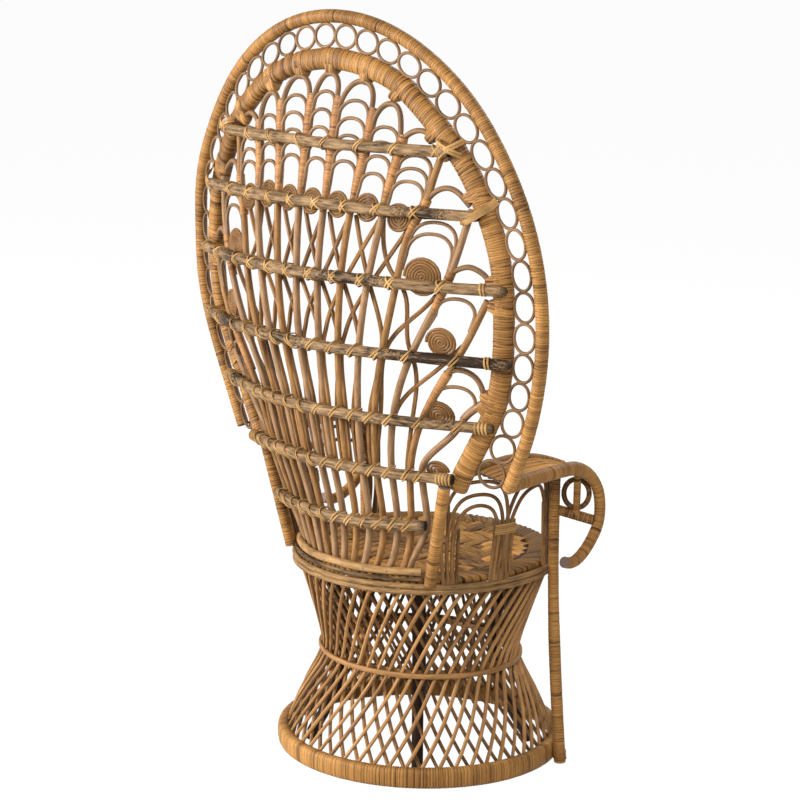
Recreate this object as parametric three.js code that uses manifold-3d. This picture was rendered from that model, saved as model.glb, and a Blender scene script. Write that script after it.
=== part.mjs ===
// Peacock chair of rattan: hourglass base, round seat, two scroll arms and a tall fan back.
// Millimetres, Z up. The back is on +Y, the sitter faces -Y.
import * as THREE from 'three';
import { mergeVertices } from 'three/addons/utils/BufferGeometryUtils.js';
import Module from 'manifold-3d';

const wasm = await Module();
wasm.setup();

// Shared clearance between pieces that touch
const gap = 0.3;

// Base: hoop on the floor, waist and lattice
const baseHalfWidth = 290;
const baseHalfDepth = 275;
const baseHoopHeight = 40;
const baseHoopThick = 23;
const waistHalfWidth = 212;
const waistHalfDepth = 185;
const waistHeight = 196;
const waistShift = -2;
const waistHoopRadius = 5;
const rodRadius = 4.2;
const rodsPerLayer = 52;
const latticePanels = 4;
const layerStep = 9.7;
const lowerTwist = THREE.MathUtils.degToRad(24);
const upperTwist = THREE.MathUtils.degToRad(25);
const rodFuse = 1.5;
const rodHeadLean = 1.4;
const legRadius = 11.5;

// Seat: hoops, rim and woven panel
const seatHalfWidth = 267;
const seatHalfDepth = 253;
const seatShift = -13;
const seatHoopBottom = 372;
const seatPoleRadius = 5.25;
const seatTop = 405;
const seatRimWidth = 48;
const seatRimHeight = 17;
const seatPanelThick = 12;
const seatPanelDrop = 4;
const upperHoopRadius = 7.5;
const upperHoopEnd = THREE.MathUtils.degToRad(47);

// Back: the hoop as a half line, and band, bars and stakes by x and z on the dished shell inside it
const backStations = [
  [405, 210, 217], [502, 216, 405], [620, 245, 528], [724, 265, 574], [848, 285, 669],
  [977, 289, 717], [1103, 276, 790], [1212, 257, 870], [1270, 247, 930], [1330, 227, 1023],
  [1450, 205, 1500],
];
const hoopRadius = 12.5;
const hoopHalf = [
  [0, 211.4, 1437.5], [131, 208.1, 1418], [242, 200.1, 1366], [330, 189.9, 1292], [395.3, 181.4, 1204],
  [440.8, 173.3, 1110], [463.6, 160.7, 1000], [466.6, 153.6, 899], [448.7, 144.7, 798], [414.2, 136.9, 698],
  [367.5, 135.9, 597],
];
const bandWidth = 39;
const bandThick = 20;
const bandHalf = [
  [0, 1361], [89, 1351], [163, 1327], [221, 1291], [270, 1249], [311, 1203], [355, 1131],
  [382, 1062], [394, 1000], [396, 930], [389, 850], [365, 768], [326, 690], [279, 608],
];
const ringCount = 38;
const ringCane = 2.8;
const ringFuse = 1.6;
const ringTowardsHoop = 2.2;
const barRadius = 10.2;
const barSlope = 0.006;
const lastBarSlope = 0.03;
const lastBarBow = 8;
const bars = [
  [300, 1212, 1.4], [360, 1103, 1.1], [408, 977, 1.6], [409, 848, 1.9], [357, 724, 2.0], [276, 620, 0.7],
  [203, 507, 1.8],
];
const stakeRadius = 5.75;
const stakes = [
  [[11, 0], [13, 430], [17, 555], [21, 740], [28, 865], [30, 995], [33, 1080], [35, 1170], [36, 1250], [36, 1296]],
  [[34, 0], [39, 430], [52, 555], [63, 740], [77, 865], [89, 995], [98, 1080], [111, 1170], [123, 1250], [126, 1281]],
  [[57, 0], [65, 430], [86, 555], [104, 740], [127, 865], [152, 995], [168, 1080], [183, 1170], [195, 1222], [197, 1238]],
  [[81, 0], [92, 430], [117, 555], [142, 740], [179, 865], [211, 995], [234, 1080], [257, 1150], [275, 1203]],
  [[106, 0], [118, 430], [148, 555], [182, 740], [241, 865], [306, 995], [331, 1080], [337, 1104]],
  [[130, 0], [142, 430], [178, 555], [241, 740], [326, 865], [366, 945]],
  [[141, 0], [152.5, 430], [193, 500], [206, 558], [213, 610], [221, 637], [287, 705], [316, 742]],
];
const crownRadius = 4.5;
const archRadius = 2.9;
const archRise = 30;
const archBow = 0.16;
const archKnee = 0.62;

// Rosettes: flat spirals of cane between the stakes
const coilCane = 3.2;
const coilPitch = 7.2;
const coilStart = 6;
const coilStepsPerTurn = 8;
const diagonalRadius = 3.5;

// Arms, given for one side and mirrored
const armPostRadius = 12;
const armPostFootDepth = -108;
const armPostStand = 15.8;
const armPostFoot = [
  baseHalfWidth * Math.sqrt(1 - (armPostFootDepth / baseHalfDepth) ** 2) + armPostStand, armPostFootDepth, 0,
];
const armPost = [armPostFoot, [265, -101, 382], [268, -100, 593.9]];
const railRadius = 10.5;
const rail = [
  [357, 124.7, 604], [350, 58, 606], [345, 4, 606], [340, -45, 605], [336, -82, 601], [333, -112, 589],
  [330, -139, 568], [328, -156, 542], [327, -162, 512], [328, -156, 480], [330, -136, 453],
  [333, -108, 431], [336, -75, 420], [339, -50, 426],
];
const innerRailRadius = 9;
const innerRail = [[256, 146, 607], [252, 60, 611], [255, -60, 609], [268, -114, 602]];
const armPanelThick = 6;
const armPanelFront = -100;
const armPanelBack = 108;
const rearPostRadius = 12;
const rearPostFoot = [196.5, 162, 393.4];
const rearPostTop = [266, 194, 601.7];
const braceRadius = 10;
const braceHeight = [504, 487.5];
const braceRailDepth = [-150, -156];
const stickRadius = 6.8;
const stickHead = [49, -108, 578];
const armRing = [24, 28];
const armRingRise = 42.5;
const armRingCane = 4.5;
const sideCane = 4;
const sideLean = 0.19;
const sideLeanFrom = 168;
const sideLeanTo = 196;
const sideLoops = [
  [142.5, 167.7, 597], [144.6, 165.9, 571], [146.7, 164, 549], [169.4, 201, 590], [171.2, 198.5, 563],
];
const sideTieHeight = [486, 508];
const sideTieAngles = [162.8, 172.4];

// Colours as seen
const wrapped = new THREE.MeshStandardMaterial({ color: 0xb4803f, roughness: 0.6, metalness: 0 });
const cane = new THREE.MeshStandardMaterial({ color: 0x8d6440, roughness: 0.65, metalness: 0 });
const pole = new THREE.MeshStandardMaterial({ color: 0x85664c, roughness: 0.7, metalness: 0 });
const pale = new THREE.MeshStandardMaterial({ color: 0xbd9566, roughness: 0.65, metalness: 0 });
const straw = new THREE.MeshStandardMaterial({ color: 0xc29a55, roughness: 0.75, metalness: 0 });
const inner = new THREE.MeshStandardMaterial({ color: 0x3b281c, roughness: 0.75, metalness: 0 });

const group = new THREE.Group();

// Adds one named piece
function add(name, geometry, material) {
  const mesh = new THREE.Mesh(geometry, material);
  mesh.name = name;
  group.add(mesh);
}

function vec(p) {
  return new THREE.Vector3(p[0], p[1], p[2]);
}

// Position-only geometry with shared corners
function welded(geometry) {
  const bare = geometry.clone();
  bare.deleteAttribute('normal');
  bare.deleteAttribute('uv');
  return mergeVertices(bare, 1e-4);
}

function toSolid(geometry) {
  const bare = welded(geometry);
  const mesh = new wasm.Mesh({
    numProp: 3,
    vertProperties: new Float32Array(bare.attributes.position.array),
    triVerts: new Uint32Array(bare.index.array),
  });
  return new wasm.Manifold(mesh);
}

function toGeometry(solid) {
  const mesh = solid.getMesh();
  const geometry = new THREE.BufferGeometry();
  geometry.setAttribute('position', new THREE.BufferAttribute(new Float32Array(mesh.vertProperties), 3));
  geometry.setIndex(new THREE.BufferAttribute(new Uint32Array(mesh.triVerts), 1));
  geometry.computeVertexNormals();
  return geometry;
}

// Joins several closed geometries into one body
function fuse(geometries) {
  let whole = toSolid(geometries[0]);
  for (const geometry of geometries.slice(1)) {
    whole = whole.add(toSolid(geometry));
  }
  return toGeometry(whole.asOriginal().simplify(0.02));
}

function roundShape(radius, sides) {
  const shape = new THREE.Shape();
  for (let k = 0; k < sides; k += 1) {
    const turn = (2 * Math.PI * (k + 0.5)) / sides;
    const corner = [radius * Math.cos(turn), radius * Math.sin(turn)];
    if (k === 0) shape.moveTo(...corner);
    else shape.lineTo(...corner);
  }
  shape.closePath();
  return shape;
}

// Round pole or cane carried along a smooth line through the points
function tube(points, radius, sides, steps) {
  const line = points.length === 2
    ? new THREE.LineCurve3(points[0], points[1])
    : new THREE.CatmullRomCurve3(points, false, 'centripetal');
  const options = { steps, extrudePath: line, bevelEnabled: false, curveSegments: 1 };
  return new THREE.ExtrudeGeometry(roundShape(radius, sides), options);
}

// Closed surface through rings of points, with flat ends unless the rings meet
function skin(rings, closed) {
  const sides = rings[0].length;
  const points = rings.flat();
  const faces = [];
  const spans = closed ? rings.length : rings.length - 1;
  for (let i = 0; i < spans; i += 1) {
    const here = i * sides;
    const next = ((i + 1) % rings.length) * sides;
    for (let k = 0; k < sides; k += 1) {
      const m = (k + 1) % sides;
      faces.push(here + k, next + k, next + m, here + k, next + m, here + m);
    }
  }
  if (!closed) {
    const last = (rings.length - 1) * sides;
    for (let k = 1; k < sides - 1; k += 1) {
      faces.push(0, k, k + 1, last, last + k + 1, last + k);
    }
  }
  if (signedVolume(points, faces) < 0) {
    faces.reverse();
  }
  const geometry = new THREE.BufferGeometry().setFromPoints(points);
  geometry.setIndex(faces);
  geometry.computeVertexNormals();
  return geometry;
}

function signedVolume(points, faces) {
  let sum = 0;
  for (let k = 0; k < faces.length; k += 3) {
    const cross = points[faces[k + 1]].clone().cross(points[faces[k + 2]]);
    sum += points[faces[k]].dot(cross);
  }
  return sum;
}

// Oval hoop about the Z axis, from a closed profile of radius and height turned on a lathe
function ovalHoop(profile, halfWidth, halfDepth, shift, segments) {
  const outline = profile.map((p) => new THREE.Vector2(p[0], p[1]));
  outline.push(outline[0].clone());
  const geometry = new THREE.LatheGeometry(outline, segments);
  geometry.rotateX(Math.PI / 2);
  geometry.scale(1, halfDepth / halfWidth, 1);
  geometry.translate(0, shift, 0);
  return geometry;
}

function ovalPoint(halfWidth, halfDepth, shift, angle, height) {
  return vec([halfWidth * Math.cos(angle), shift + halfDepth * Math.sin(angle), height]);
}

function roundProfile(radius, centre, height, sides) {
  const list = [];
  for (let k = 0; k < sides; k += 1) {
    const turn = (2 * Math.PI * k) / sides;
    list.push([centre + radius * Math.cos(turn), height + radius * Math.sin(turn)]);
  }
  return list;
}

// Base hoop with a softened top edge
const bevel = 4;
const hoopInside = baseHalfWidth - baseHoopThick;
const baseProfile = [
  [hoopInside, 0], [baseHalfWidth, 0], [baseHalfWidth, baseHoopHeight - bevel],
  [baseHalfWidth - bevel, baseHoopHeight], [hoopInside, baseHoopHeight],
];
add('base_hoop', ovalHoop(baseProfile, baseHalfWidth, baseHalfDepth, 0, 48), wrapped);

// Lattice: two layers of rods leaning opposite ways, in panels that each have an arc of waist hoop
const seatHoopInside = seatHalfWidth - 2 * seatPoleRadius;
const rodBottom = 3;
const rodTop = seatTop - seatRimHeight - rodRadius;

function lattice(inset, lean) {
  const low = hoopInside - rodRadius - gap - inset;
  const mid = waistHalfWidth - waistHoopRadius - rodRadius + rodFuse - inset;
  const high = seatHoopInside + rodHeadLean - rodRadius - gap - inset;
  const lowDepth = low - baseHalfWidth + baseHalfDepth;
  const midDepth = mid - waistHalfWidth + waistHalfDepth;
  const highDepth = high - seatHalfWidth + seatHalfDepth;
  const rods = [];
  for (let k = 0; k < rodsPerLayer; k += 1) {
    const start = (2 * Math.PI * k) / rodsPerLayer;
    const turned = start + lean * lowerTwist;
    const foot = ovalPoint(low, lowDepth, 0, start, rodBottom);
    const waist = ovalPoint(mid, midDepth, waistShift, turned, waistHeight);
    const head = ovalPoint(high, highDepth, seatShift, turned + lean * upperTwist, rodTop);
    rods.push(bentRod([foot, waist, head], rodRadius, lean));
  }
  return { rods, mid, turn: lean * lowerTwist };
}

// Three-sided rod through its bend, one edge towards its waist hoop
function bentRod(points, radius, lean) {
  const outwardAxis = points[1].clone().setZ(0).normalize().multiplyScalar(lean);
  const rings = points.map((p, i) => {
    const from = points[Math.max(i - 1, 0)];
    const to = points[Math.min(i + 1, points.length - 1)];
    const along = to.clone().sub(from).normalize();
    const side = along.clone().cross(outwardAxis).normalize();
    const face = side.clone().cross(along);
    return [[0, 1], [0.866, -0.5], [-0.866, -0.5]].map(([a, b]) => p.clone()
      .addScaledVector(side, a * radius)
      .addScaledVector(face, b * radius));
  });
  return skin(rings, false);
}

// Arc of waist hoop across one panel's rods, a little short of the next arc
function waistArc(layer, halfWidth, panel) {
  const halfDepth = halfWidth - waistHalfWidth + waistHalfDepth;
  const pitch = (2 * Math.PI) / rodsPerLayer;
  const points = [];
  for (let k = 0; k <= panelRods; k += 1) {
    const inward = k === 0 ? arcShort : k === panelRods ? -arcShort : 0;
    const angle = layer.turn + pitch * (panel * panelRods + k - 0.5) + inward / halfWidth;
    points.push(ovalPoint(halfWidth, halfDepth, waistShift, angle, waistHeight));
  }
  return tube(points, waistHoopRadius, 6, panelRods);
}

const panelRods = rodsPerLayer / latticePanels;
const arcShort = 4 * gap;
const outerLayer = lattice(0, 1);
const innerLayer = lattice(layerStep, -1);
const innerWaist = innerLayer.mid - rodRadius - waistHoopRadius + rodFuse;
for (let panel = 0; panel < latticePanels; panel += 1) {
  const inPanel = (rod, k) => Math.floor(k / panelRods) === panel;
  const outerRods = outerLayer.rods.filter(inPanel);
  const innerRods = innerLayer.rods.filter(inPanel);
  add(`lattice_outer_${panel + 1}`, fuse([waistArc(outerLayer, waistHalfWidth, panel), ...outerRods]), cane);
  add(`lattice_inner_${panel + 1}`, fuse([waistArc(innerLayer, innerWaist, panel), ...innerRods]), cane);
}

// Inner legs on the diagonals, bent in at the waist, each under the end of a cross brace
const braceReach = 196;
const braceSides = 8;
const braceFlat = legRadius * Math.cos(Math.PI / braceSides);
const upperBrace = seatTop - seatRimHeight - braceFlat - gap;
const braceLevels = [upperBrace - 2 * braceFlat - gap, upperBrace];
const diagonal = THREE.MathUtils.degToRad(45);
const legFootReach = 224;
const legBendReach = 90;
const legTopReach = braceReach - legRadius;
for (let k = 0; k < 4; k += 1) {
  const angle = diagonal + (k * Math.PI) / 2;
  const level = braceLevels[k % 2];
  const at = (reach, height) => vec([reach * Math.cos(angle), reach * Math.sin(angle), height]);
  const line = [
    at(legFootReach, 0), at(legBendReach, waistHeight), at(legTopReach, level - braceFlat - gap),
  ];
  add(`inner_leg_${k + 1}`, levelEnds(line, legRadius), inner);
}

// Leg as a skin with level feet and tops
function levelEnds(points, radius) {
  const sides = 6;
  const curve = new THREE.QuadraticBezierCurve3(points[0], points[1], points[2]);
  const rings = curve.getPoints(5).map((p) => {
    const ring = [];
    for (let k = 0; k < sides; k += 1) {
      const turn = (2 * Math.PI * k) / sides;
      ring.push(vec([p.x + radius * Math.cos(turn), p.y + radius * Math.sin(turn), p.z]));
    }
    return ring;
  });
  return skin(rings, false);
}

for (let k = 0; k < 2; k += 1) {
  const angle = diagonal + (k * Math.PI) / 2;
  const reach = vec([Math.cos(angle), Math.sin(angle), 0]).multiplyScalar(braceReach);
  const middle = vec([0, 0, braceLevels[k]]);
  const ends = [middle.clone().sub(reach), middle.clone().add(reach)];
  add(`cross_brace_${k + 1}`, tube(ends, legRadius, braceSides, 1), inner);
}

// Lower seat hoop of two stacked poles, sharing one profile
const poleCentre = seatHalfWidth - seatPoleRadius;
const polePinch = 0.5 * seatPoleRadius;
const seatHoopTop = seatHoopBottom + 4 * seatPoleRadius;
const poleProfile = [
  [poleCentre, seatHoopBottom], [poleCentre + seatPoleRadius, seatHoopBottom + seatPoleRadius],
  [poleCentre + polePinch, seatHoopBottom + 2 * seatPoleRadius],
  [poleCentre + seatPoleRadius, seatHoopTop - seatPoleRadius], [poleCentre, seatHoopTop],
  [poleCentre - seatPoleRadius, seatHoopTop - seatPoleRadius],
  [poleCentre - polePinch, seatHoopBottom + 2 * seatPoleRadius],
  [poleCentre - seatPoleRadius, seatHoopBottom + seatPoleRadius],
];
add('seat_hoop_lower', ovalHoop(poleProfile, seatHalfWidth, seatHalfDepth, seatShift, 40), pale);

// Seat rim inside the lower hoop, and the woven panel inside the rim
const rimOuter = seatHoopInside - gap;
const rimInner = rimOuter - seatRimWidth;
const depthRatio = seatHalfDepth / seatHalfWidth;
const rimBottom = seatTop - seatRimHeight;
const rimProfile = [
  [rimInner, rimBottom], [rimOuter, rimBottom], [rimOuter, seatTop - bevel], [rimOuter - bevel, seatTop],
  [rimInner, seatTop],
];
add('seat_rim', ovalHoop(rimProfile, rimOuter, rimOuter * depthRatio, seatShift, 40), straw);
const panelRadius = rimInner - 2 * gap;
const panelTop = seatTop - seatPanelDrop;
const panelProfile = [
  [0, panelTop - seatPanelThick], [panelRadius, panelTop - seatPanelThick], [panelRadius, panelTop],
  [0, panelTop],
].map((p) => new THREE.Vector2(p[0], p[1]));
const panel = new THREE.LatheGeometry(panelProfile, 40);
panel.rotateX(Math.PI / 2);
panel.scale(1, depthRatio, 1);
panel.translate(0, seatShift, 0);
add('seat_panel', panel, straw);

// Upper seat hoop: an arc round the feet of the back, ending at the rear arm posts
const upperHoopReach = rimOuter - upperHoopRadius + 2;
const upperHoopLine = [];
for (let k = 0; k <= 16; k += 1) {
  const angle = upperHoopEnd + ((Math.PI - 2 * upperHoopEnd) * k) / 16;
  const height = seatTop + gap + upperHoopRadius;
  upperHoopLine.push(ovalPoint(upperHoopReach, upperHoopReach * depthRatio, seatShift, angle, height));
}
add('seat_hoop_upper', tube(upperHoopLine, upperHoopRadius, 6, 16), pale);

// Back shell: middle line and cross curve by height, then a step along the normal
const stationHeights = backStations.map((row) => row[0]);
const stationValues = backStations.flatMap((row) => [row[1], row[2]]);
const stationCurve = new THREE.CubicInterpolant(stationHeights, stationValues, 2, new Float32Array(2));

function shellY(x, z) {
  const [middle, bend] = stationCurve.evaluate(z);
  return middle - (x * x) / (2 * bend);
}

function shellNormal(x, z) {
  const slopeX = (shellY(x + 1, z) - shellY(x - 1, z)) / 2;
  const slopeZ = (shellY(x, z + 1) - shellY(x, z - 1)) / 2;
  return vec([-slopeX, 1, -slopeZ]).normalize();
}

function shell(x, z, lift) {
  return vec([x, shellY(x, z), z]).addScaledVector(shellNormal(x, z), lift);
}

// Full line from a half one, as evenly spaced points
function wholeLine(half, count) {
  const right = half.slice(1).map(([x, y, z]) => vec([-x, y, z])).reverse();
  const left = half.map(vec);
  const curve = new THREE.CatmullRomCurve3([...right, ...left], false, 'centripetal');
  return curve.getSpacedPoints(count);
}

const hoopSteps = 46;
const hoopLine = wholeLine(hoopHalf, hoopSteps);
add('outer_hoop', tube(hoopLine, hoopRadius, 6, hoopSteps), wrapped);

// Band line of x and z, evenly spaced, before it is laid on the shell
function bandOutline(count) {
  return wholeLine(bandHalf.map(([x, z]) => [x, 0, z]), count);
}

const bandFlat = bandOutline(48);
const bandLine = bandFlat.map((p) => shell(p.x, p.z, 0));
const bandRings = bandLine.map((p, i) => {
  const from = bandLine[Math.max(i - 1, 0)];
  const to = bandLine[Math.min(i + 1, bandLine.length - 1)];
  const along = to.clone().sub(from).normalize();
  const face = shellNormal(bandFlat[i].x, bandFlat[i].z);
  const across = along.clone().cross(face).normalize();
  const flat = across.clone().cross(along);
  return [[1, 1], [-1, 1], [-1, -1], [1, -1]].map(([a, b]) => p.clone()
    .addScaledVector(across, (a * bandWidth) / 2)
    .addScaledVector(flat, (b * bandThick) / 2));
});
add('inner_band', skin(bandRings, false), wrapped);

// Ring chain: oval loops of cane touching each other between the hoop and the band
const ringSlots = 2 * ringCount;
const ringHoop = wholeLine(hoopHalf, ringSlots);
const ringBand = bandOutline(ringSlots).map((p) => shell(p.x, p.z, 0));
const ringMiddle = ringHoop.map((p, i) => {
  const across = ringBand[i].clone().sub(p);
  const room = across.length() - hoopRadius - bandWidth / 2;
  return p.clone().addScaledVector(across.normalize(), hoopRadius + room / 2 - ringTowardsHoop);
});

function chainRing(slot) {
  const centre = ringMiddle[slot];
  const along = ringMiddle[slot + 1].clone().sub(ringMiddle[slot - 1]);
  const halfLength = along.length() / 2 + ringFuse;
  along.normalize();
  const straight = ringHoop[slot].clone().sub(ringBand[slot]);
  const across = straight.addScaledVector(along, -straight.dot(along)).normalize();
  const reach = nearest(centre, slot) - ringCane - 0.3 * gap;
  const face = along.clone().cross(across);
  const loop = [];
  const loopSteps = 6;
  const flatReach = reach / Math.sin(Math.PI / 3);
  for (let k = 0; k < loopSteps; k += 1) {
    const turn = (2 * Math.PI * k) / loopSteps;
    const out = along.clone().multiplyScalar(Math.cos(turn)).addScaledVector(across, Math.sin(turn));
    const spot = centre.clone()
      .addScaledVector(along, (halfLength - ringCane) * Math.cos(turn))
      .addScaledVector(across, flatReach * Math.sin(turn));
    loop.push([[1, 0], [-0.5, 0.866], [-0.5, -0.866]].map(([a, b]) => spot.clone()
      .addScaledVector(out, a * ringCane)
      .addScaledVector(face, b * ringCane)));
  }
  return skin(loop, true);
}

// Free distance from a ring centre to the hoop and the band
function nearest(centre, slot) {
  let least = Infinity;
  for (let i = Math.max(slot - 3, 0); i < Math.min(slot + 3, ringSlots); i += 1) {
    const hoopSpan = new THREE.Line3(ringHoop[i], ringHoop[i + 1]);
    const bandSpan = new THREE.Line3(ringBand[i], ringBand[i + 1]);
    const toHoop = hoopSpan.closestPointToPoint(centre, true, vec([0, 0, 0])).distanceTo(centre);
    const toBand = bandSpan.closestPointToPoint(centre, true, vec([0, 0, 0])).distanceTo(centre);
    least = Math.min(least, toHoop - hoopRadius, toBand - bandWidth / 2);
  }
  return least;
}

const chainRings = [];
for (let k = 0; k < ringCount; k += 1) {
  chainRings.push(chainRing(2 * k + 1));
}
add('ring_chain', fuse(chainRings), cane);

// Bars, with their room for bending, lie on the rear faces of the stakes and rise over the band
bars.forEach(([half, height, room], i) => {
  const line = [];
  const barLift = stakeRadius + barRadius + room;
  const last = i === bars.length - 1;
  const rise = last ? 0 : bandThick / 2 - stakeRadius + 3 * gap;
  const slope = last ? lastBarSlope : barSlope;
  const bow = last ? lastBarBow : 0;
  for (let k = 0; k <= 8; k += 1) {
    const reach = k / 4 - 1;
    const x = half * reach;
    line.push(shell(x, height - slope * x + bow * reach ** 2, barLift + rise * reach ** 4));
  }
  add(`back_bar_${i + 1}`, tube(line, barRadius, 6, 8), pole);
});

// Stakes: a stem, the crown cane that arches to the next stake or to the band, nested arches
// on the same side and a rosette, all of one body
const stakeFoot = seatTop + gap;
const stakeCurves = stakes.map((list) => {
  const heights = list.map((p) => (p[1] === 0 ? stakeFoot : p[1]));
  const curve = new THREE.CubicInterpolant(heights, list.map((p) => p[0]), 1, new Float32Array(1));
  return { top: heights[heights.length - 1], at: (z) => curve.evaluate(z)[0] };
});

// Stake to the outer side of a gap; the middle gap lies between the two first stakes
function neighbour(i) {
  return i < 0 ? { top: stakeCurves[0].top, at: (z) => -stakeCurves[0].at(z) } : stakeCurves[i];
}

const crowns = [
  { gapFrom: -1, peak: [0, 1334.5], rows: [1303, 1271, 1239, 1183], coil: [1104] },
  { gapFrom: 0, peak: [84, 1325], rows: [1291, 1260, 1229, 1183], coil: [1104] },
  { gapFrom: 1, peak: [161, 1290], rows: [1249, 1197, 1166], coil: [1104] },
  { gapFrom: 2, rows: [1203, 1180, 1157], coil: [1091] },
];
const branches = [
  { stake: 2, from: 1215, path: [[222, 1242], [253, 1229]] },
  { stake: 3, from: 1128, path: [[292, 1150], [321, 1128]] },
  { stake: 4, from: 990, path: [[336, 1013], [365, 993]] },
  { stake: 5, from: 805, path: [[318, 824], [343, 792]] },
];
const sideArches = [
  { gapFrom: 3, rows: [1089, 1068], coil: [990] },
  { gapFrom: 4, rows: [956], coil: [872] },
  { gapFrom: 5, rows: [793], coil: [737] },
];

// Sideways thickness of a leaning stake against its true one
function slant(curve, z) {
  const slope = (curve.at(z + 5) - curve.at(z - 5)) / 10;
  return Math.hypot(1, slope);
}

// Cane arching from one stake to just short of the next
function archCane(inside, outside, peak, radius, drop) {
  const footInside = peak[1] - drop;
  const short = (stakeRadius + radius + 2 * gap) * slant(outside, footInside);
  const sign = Math.sign(outside.at(footInside) - inside.at(footInside));
  const left = inside.at(footInside);
  const right = outside.at(footInside) - sign * short;
  const line = [
    [left, footInside], [left + (peak[0] - left) * archBow, footInside + drop * archKnee], peak,
    [right + (peak[0] - right) * archBow, footInside + drop * archKnee], [right, footInside],
  ];
  return line.map(([x, z]) => [x, z, radius]);
}

function flatTube(line, side, steps, sides) {
  const points = line.map(([x, z]) => shell(side * x, z, 0));
  return tube(points, line[0][2], sides, steps);
}

// Flat spiral with its outer end run into the stake
let leastCoilGap = Infinity;
function rosette(inside, outside, height, side) {
  const near = inside.at(height);
  const far = outside.at(height);
  const centre = (near + far) / 2;
  const half = Math.abs(far - near) / 2;
  const reach = half - (stakeRadius + coilCane + 2 * gap) * slant(outside, height);
  const turns = Math.floor((2 * (reach - coilStart)) / coilPitch) / 2;
  const steps = Math.round(turns * coilStepsPerTurn);
  const towards = Math.sign(near - far);
  const points = [];
  for (let k = 0; k <= steps; k += 1) {
    const back = (steps - k) / steps;
    const radius = reach - coilPitch * turns * back;
    const turn = 2 * Math.PI * turns * back;
    const x = centre + towards * radius * Math.cos(turn);
    points.push(shell(side * x, height + radius * Math.sin(turn), 0));
  }
  for (let i = 0; i < points.length; i += 1) {
    for (let j = i + Math.ceil(coilStepsPerTurn * 0.6); j < points.length; j += 1) {
      leastCoilGap = Math.min(leastCoilGap, points[i].distanceTo(points[j]) - 2 * coilCane);
    }
  }
  points.push(shell(side * near, height + coilCane, 0));
  return tube(points, coilCane, 3, points.length - 1);
}

function stem(i, side) {
  const curve = stakeCurves[i];
  const points = [];
  const pieces = 10;
  for (let k = 0; k <= pieces; k += 1) {
    const z = stakeFoot + ((curve.top - stakeFoot) * k) / pieces;
    points.push(shell(side * curve.at(z), z, 0));
  }
  return levelFoot(points);
}

// Stem as a skin whose rings are level, so the foot stands flat on the seat rim
function levelFoot(points) {
  const sides = 5;
  const rings = points.map((p) => {
    const ring = [];
    for (let k = 0; k < sides; k += 1) {
      const turn = (2 * Math.PI * k) / sides;
      ring.push(vec([p.x + stakeRadius * Math.cos(turn), p.y + stakeRadius * Math.sin(turn), p.z]));
    }
    return ring;
  });
  return skin(rings, false);
}

function gapPieces(entry, side) {
  const inside = neighbour(entry.gapFrom);
  const outside = neighbour(entry.gapFrom + 1);
  const pieces = [];
  if (entry.peak) {
    const drop = entry.peak[1] - Math.min(inside.top, outside.top) + 14;
    pieces.push(flatTube(archCane(inside, outside, entry.peak, crownRadius, drop), side, 7, 4));
  }
  for (const height of entry.rows) {
    const middle = (inside.at(height) + outside.at(height)) / 2;
    const line = archCane(inside, outside, [middle, height], archRadius, archRise);
    pieces.push(flatTube(line, side, 4, 3));
  }
  for (const height of entry.coil) {
    pieces.push(rosette(inside, outside, height, side));
  }
  return pieces;
}

const sides = [['left', 1], ['right', -1]];
for (const [label, side] of sides) {
  for (let i = 0; i < stakes.length; i += 1) {
    const pieces = [stem(i, side)];
    const entries = [...crowns, ...sideArches].filter((entry) => entry.gapFrom === i);
    if (i === 0 && side === 1) {
      pieces.push(...gapPieces({ ...crowns[0], gapFrom: -1 }, -1));
    }
    entries.forEach((entry) => pieces.push(...gapPieces(entry, side)));
    for (const branch of branches.filter((entry) => entry.stake === i)) {
      const foot = [stakeCurves[i].at(branch.from), branch.from];
      const line = [foot, ...branch.path].map(([x, z]) => [x, z, crownRadius]);
      pieces.push(flatTube(line, side, 5, 4));
    }
    add(`stake_${label}_${i + 1}`, fuse(pieces), cane);
  }
}

// Fan diagonals: thin canes crossing on the front of the stakes, joined where they cross
const diagonalLift = -(stakeRadius + diagonalRadius + gap);
const crossing = [1090, 977, 862];
const passing = [7, -6, -8];
const orders = [-4, -3, -2, -1, 1, 2, 3, 4];
const outerDiagonals = [
  [[168, 1090], [212, 977], [223, 862], [216, 740]], [[300, 977], [268, 945], [184, 862]],
  [[322, 862], [275, 822], [184, 740]],
];

// Stake by its order from the middle, negative on the right
function rank(order) {
  const curve = stakeCurves[Math.abs(order) - 1];
  return { at: (z) => Math.sign(order) * curve.at(z) };
}

const diagonals = [];
for (let k = 0; k < 6; k += 1) {
  for (const side of [1, -1]) {
    const points = crossing.map((z, i) => (
      shell(side * (rank(orders[k + i]).at(z) + passing[i]), z, diagonalLift)
    ));
    diagonals.push(tube(points, diagonalRadius, 3, 2));
  }
}
for (const line of outerDiagonals) {
  for (const side of [1, -1]) {
    diagonals.push(tube(line.map(([x, z]) => shell(side * x, z, diagonalLift)), diagonalRadius, 3, 2));
  }
}
add('fan_diagonals', fuse(diagonals), cane);

// Arms
for (const [label, side] of sides) {
  const place = (p) => vec([side * p[0], p[1], p[2]]);
  add(`arm_post_${label}`, uprightPost(armPost.map(place), armPostRadius, 6), wrapped);
  add(`arm_rail_${label}`, tube(rail.map(place), railRadius, 6, 26), wrapped);
  add(`arm_inner_rail_${label}`, tube(innerRail.map(place), innerRailRadius, 6, 6), wrapped);
  const rearPost = [rearPostFoot, rearPostTop].map(place);
  add(`arm_rear_post_${label}`, uprightPost(rearPost, rearPostRadius, 4), wrapped);
  add(`arm_panel_${label}`, armPanel(place), cane);
  add(`arm_brace_${label}`, armBrace(place), wrapped);
  add(`arm_loops_${label}`, armLoops(side), cane);
}

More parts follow.
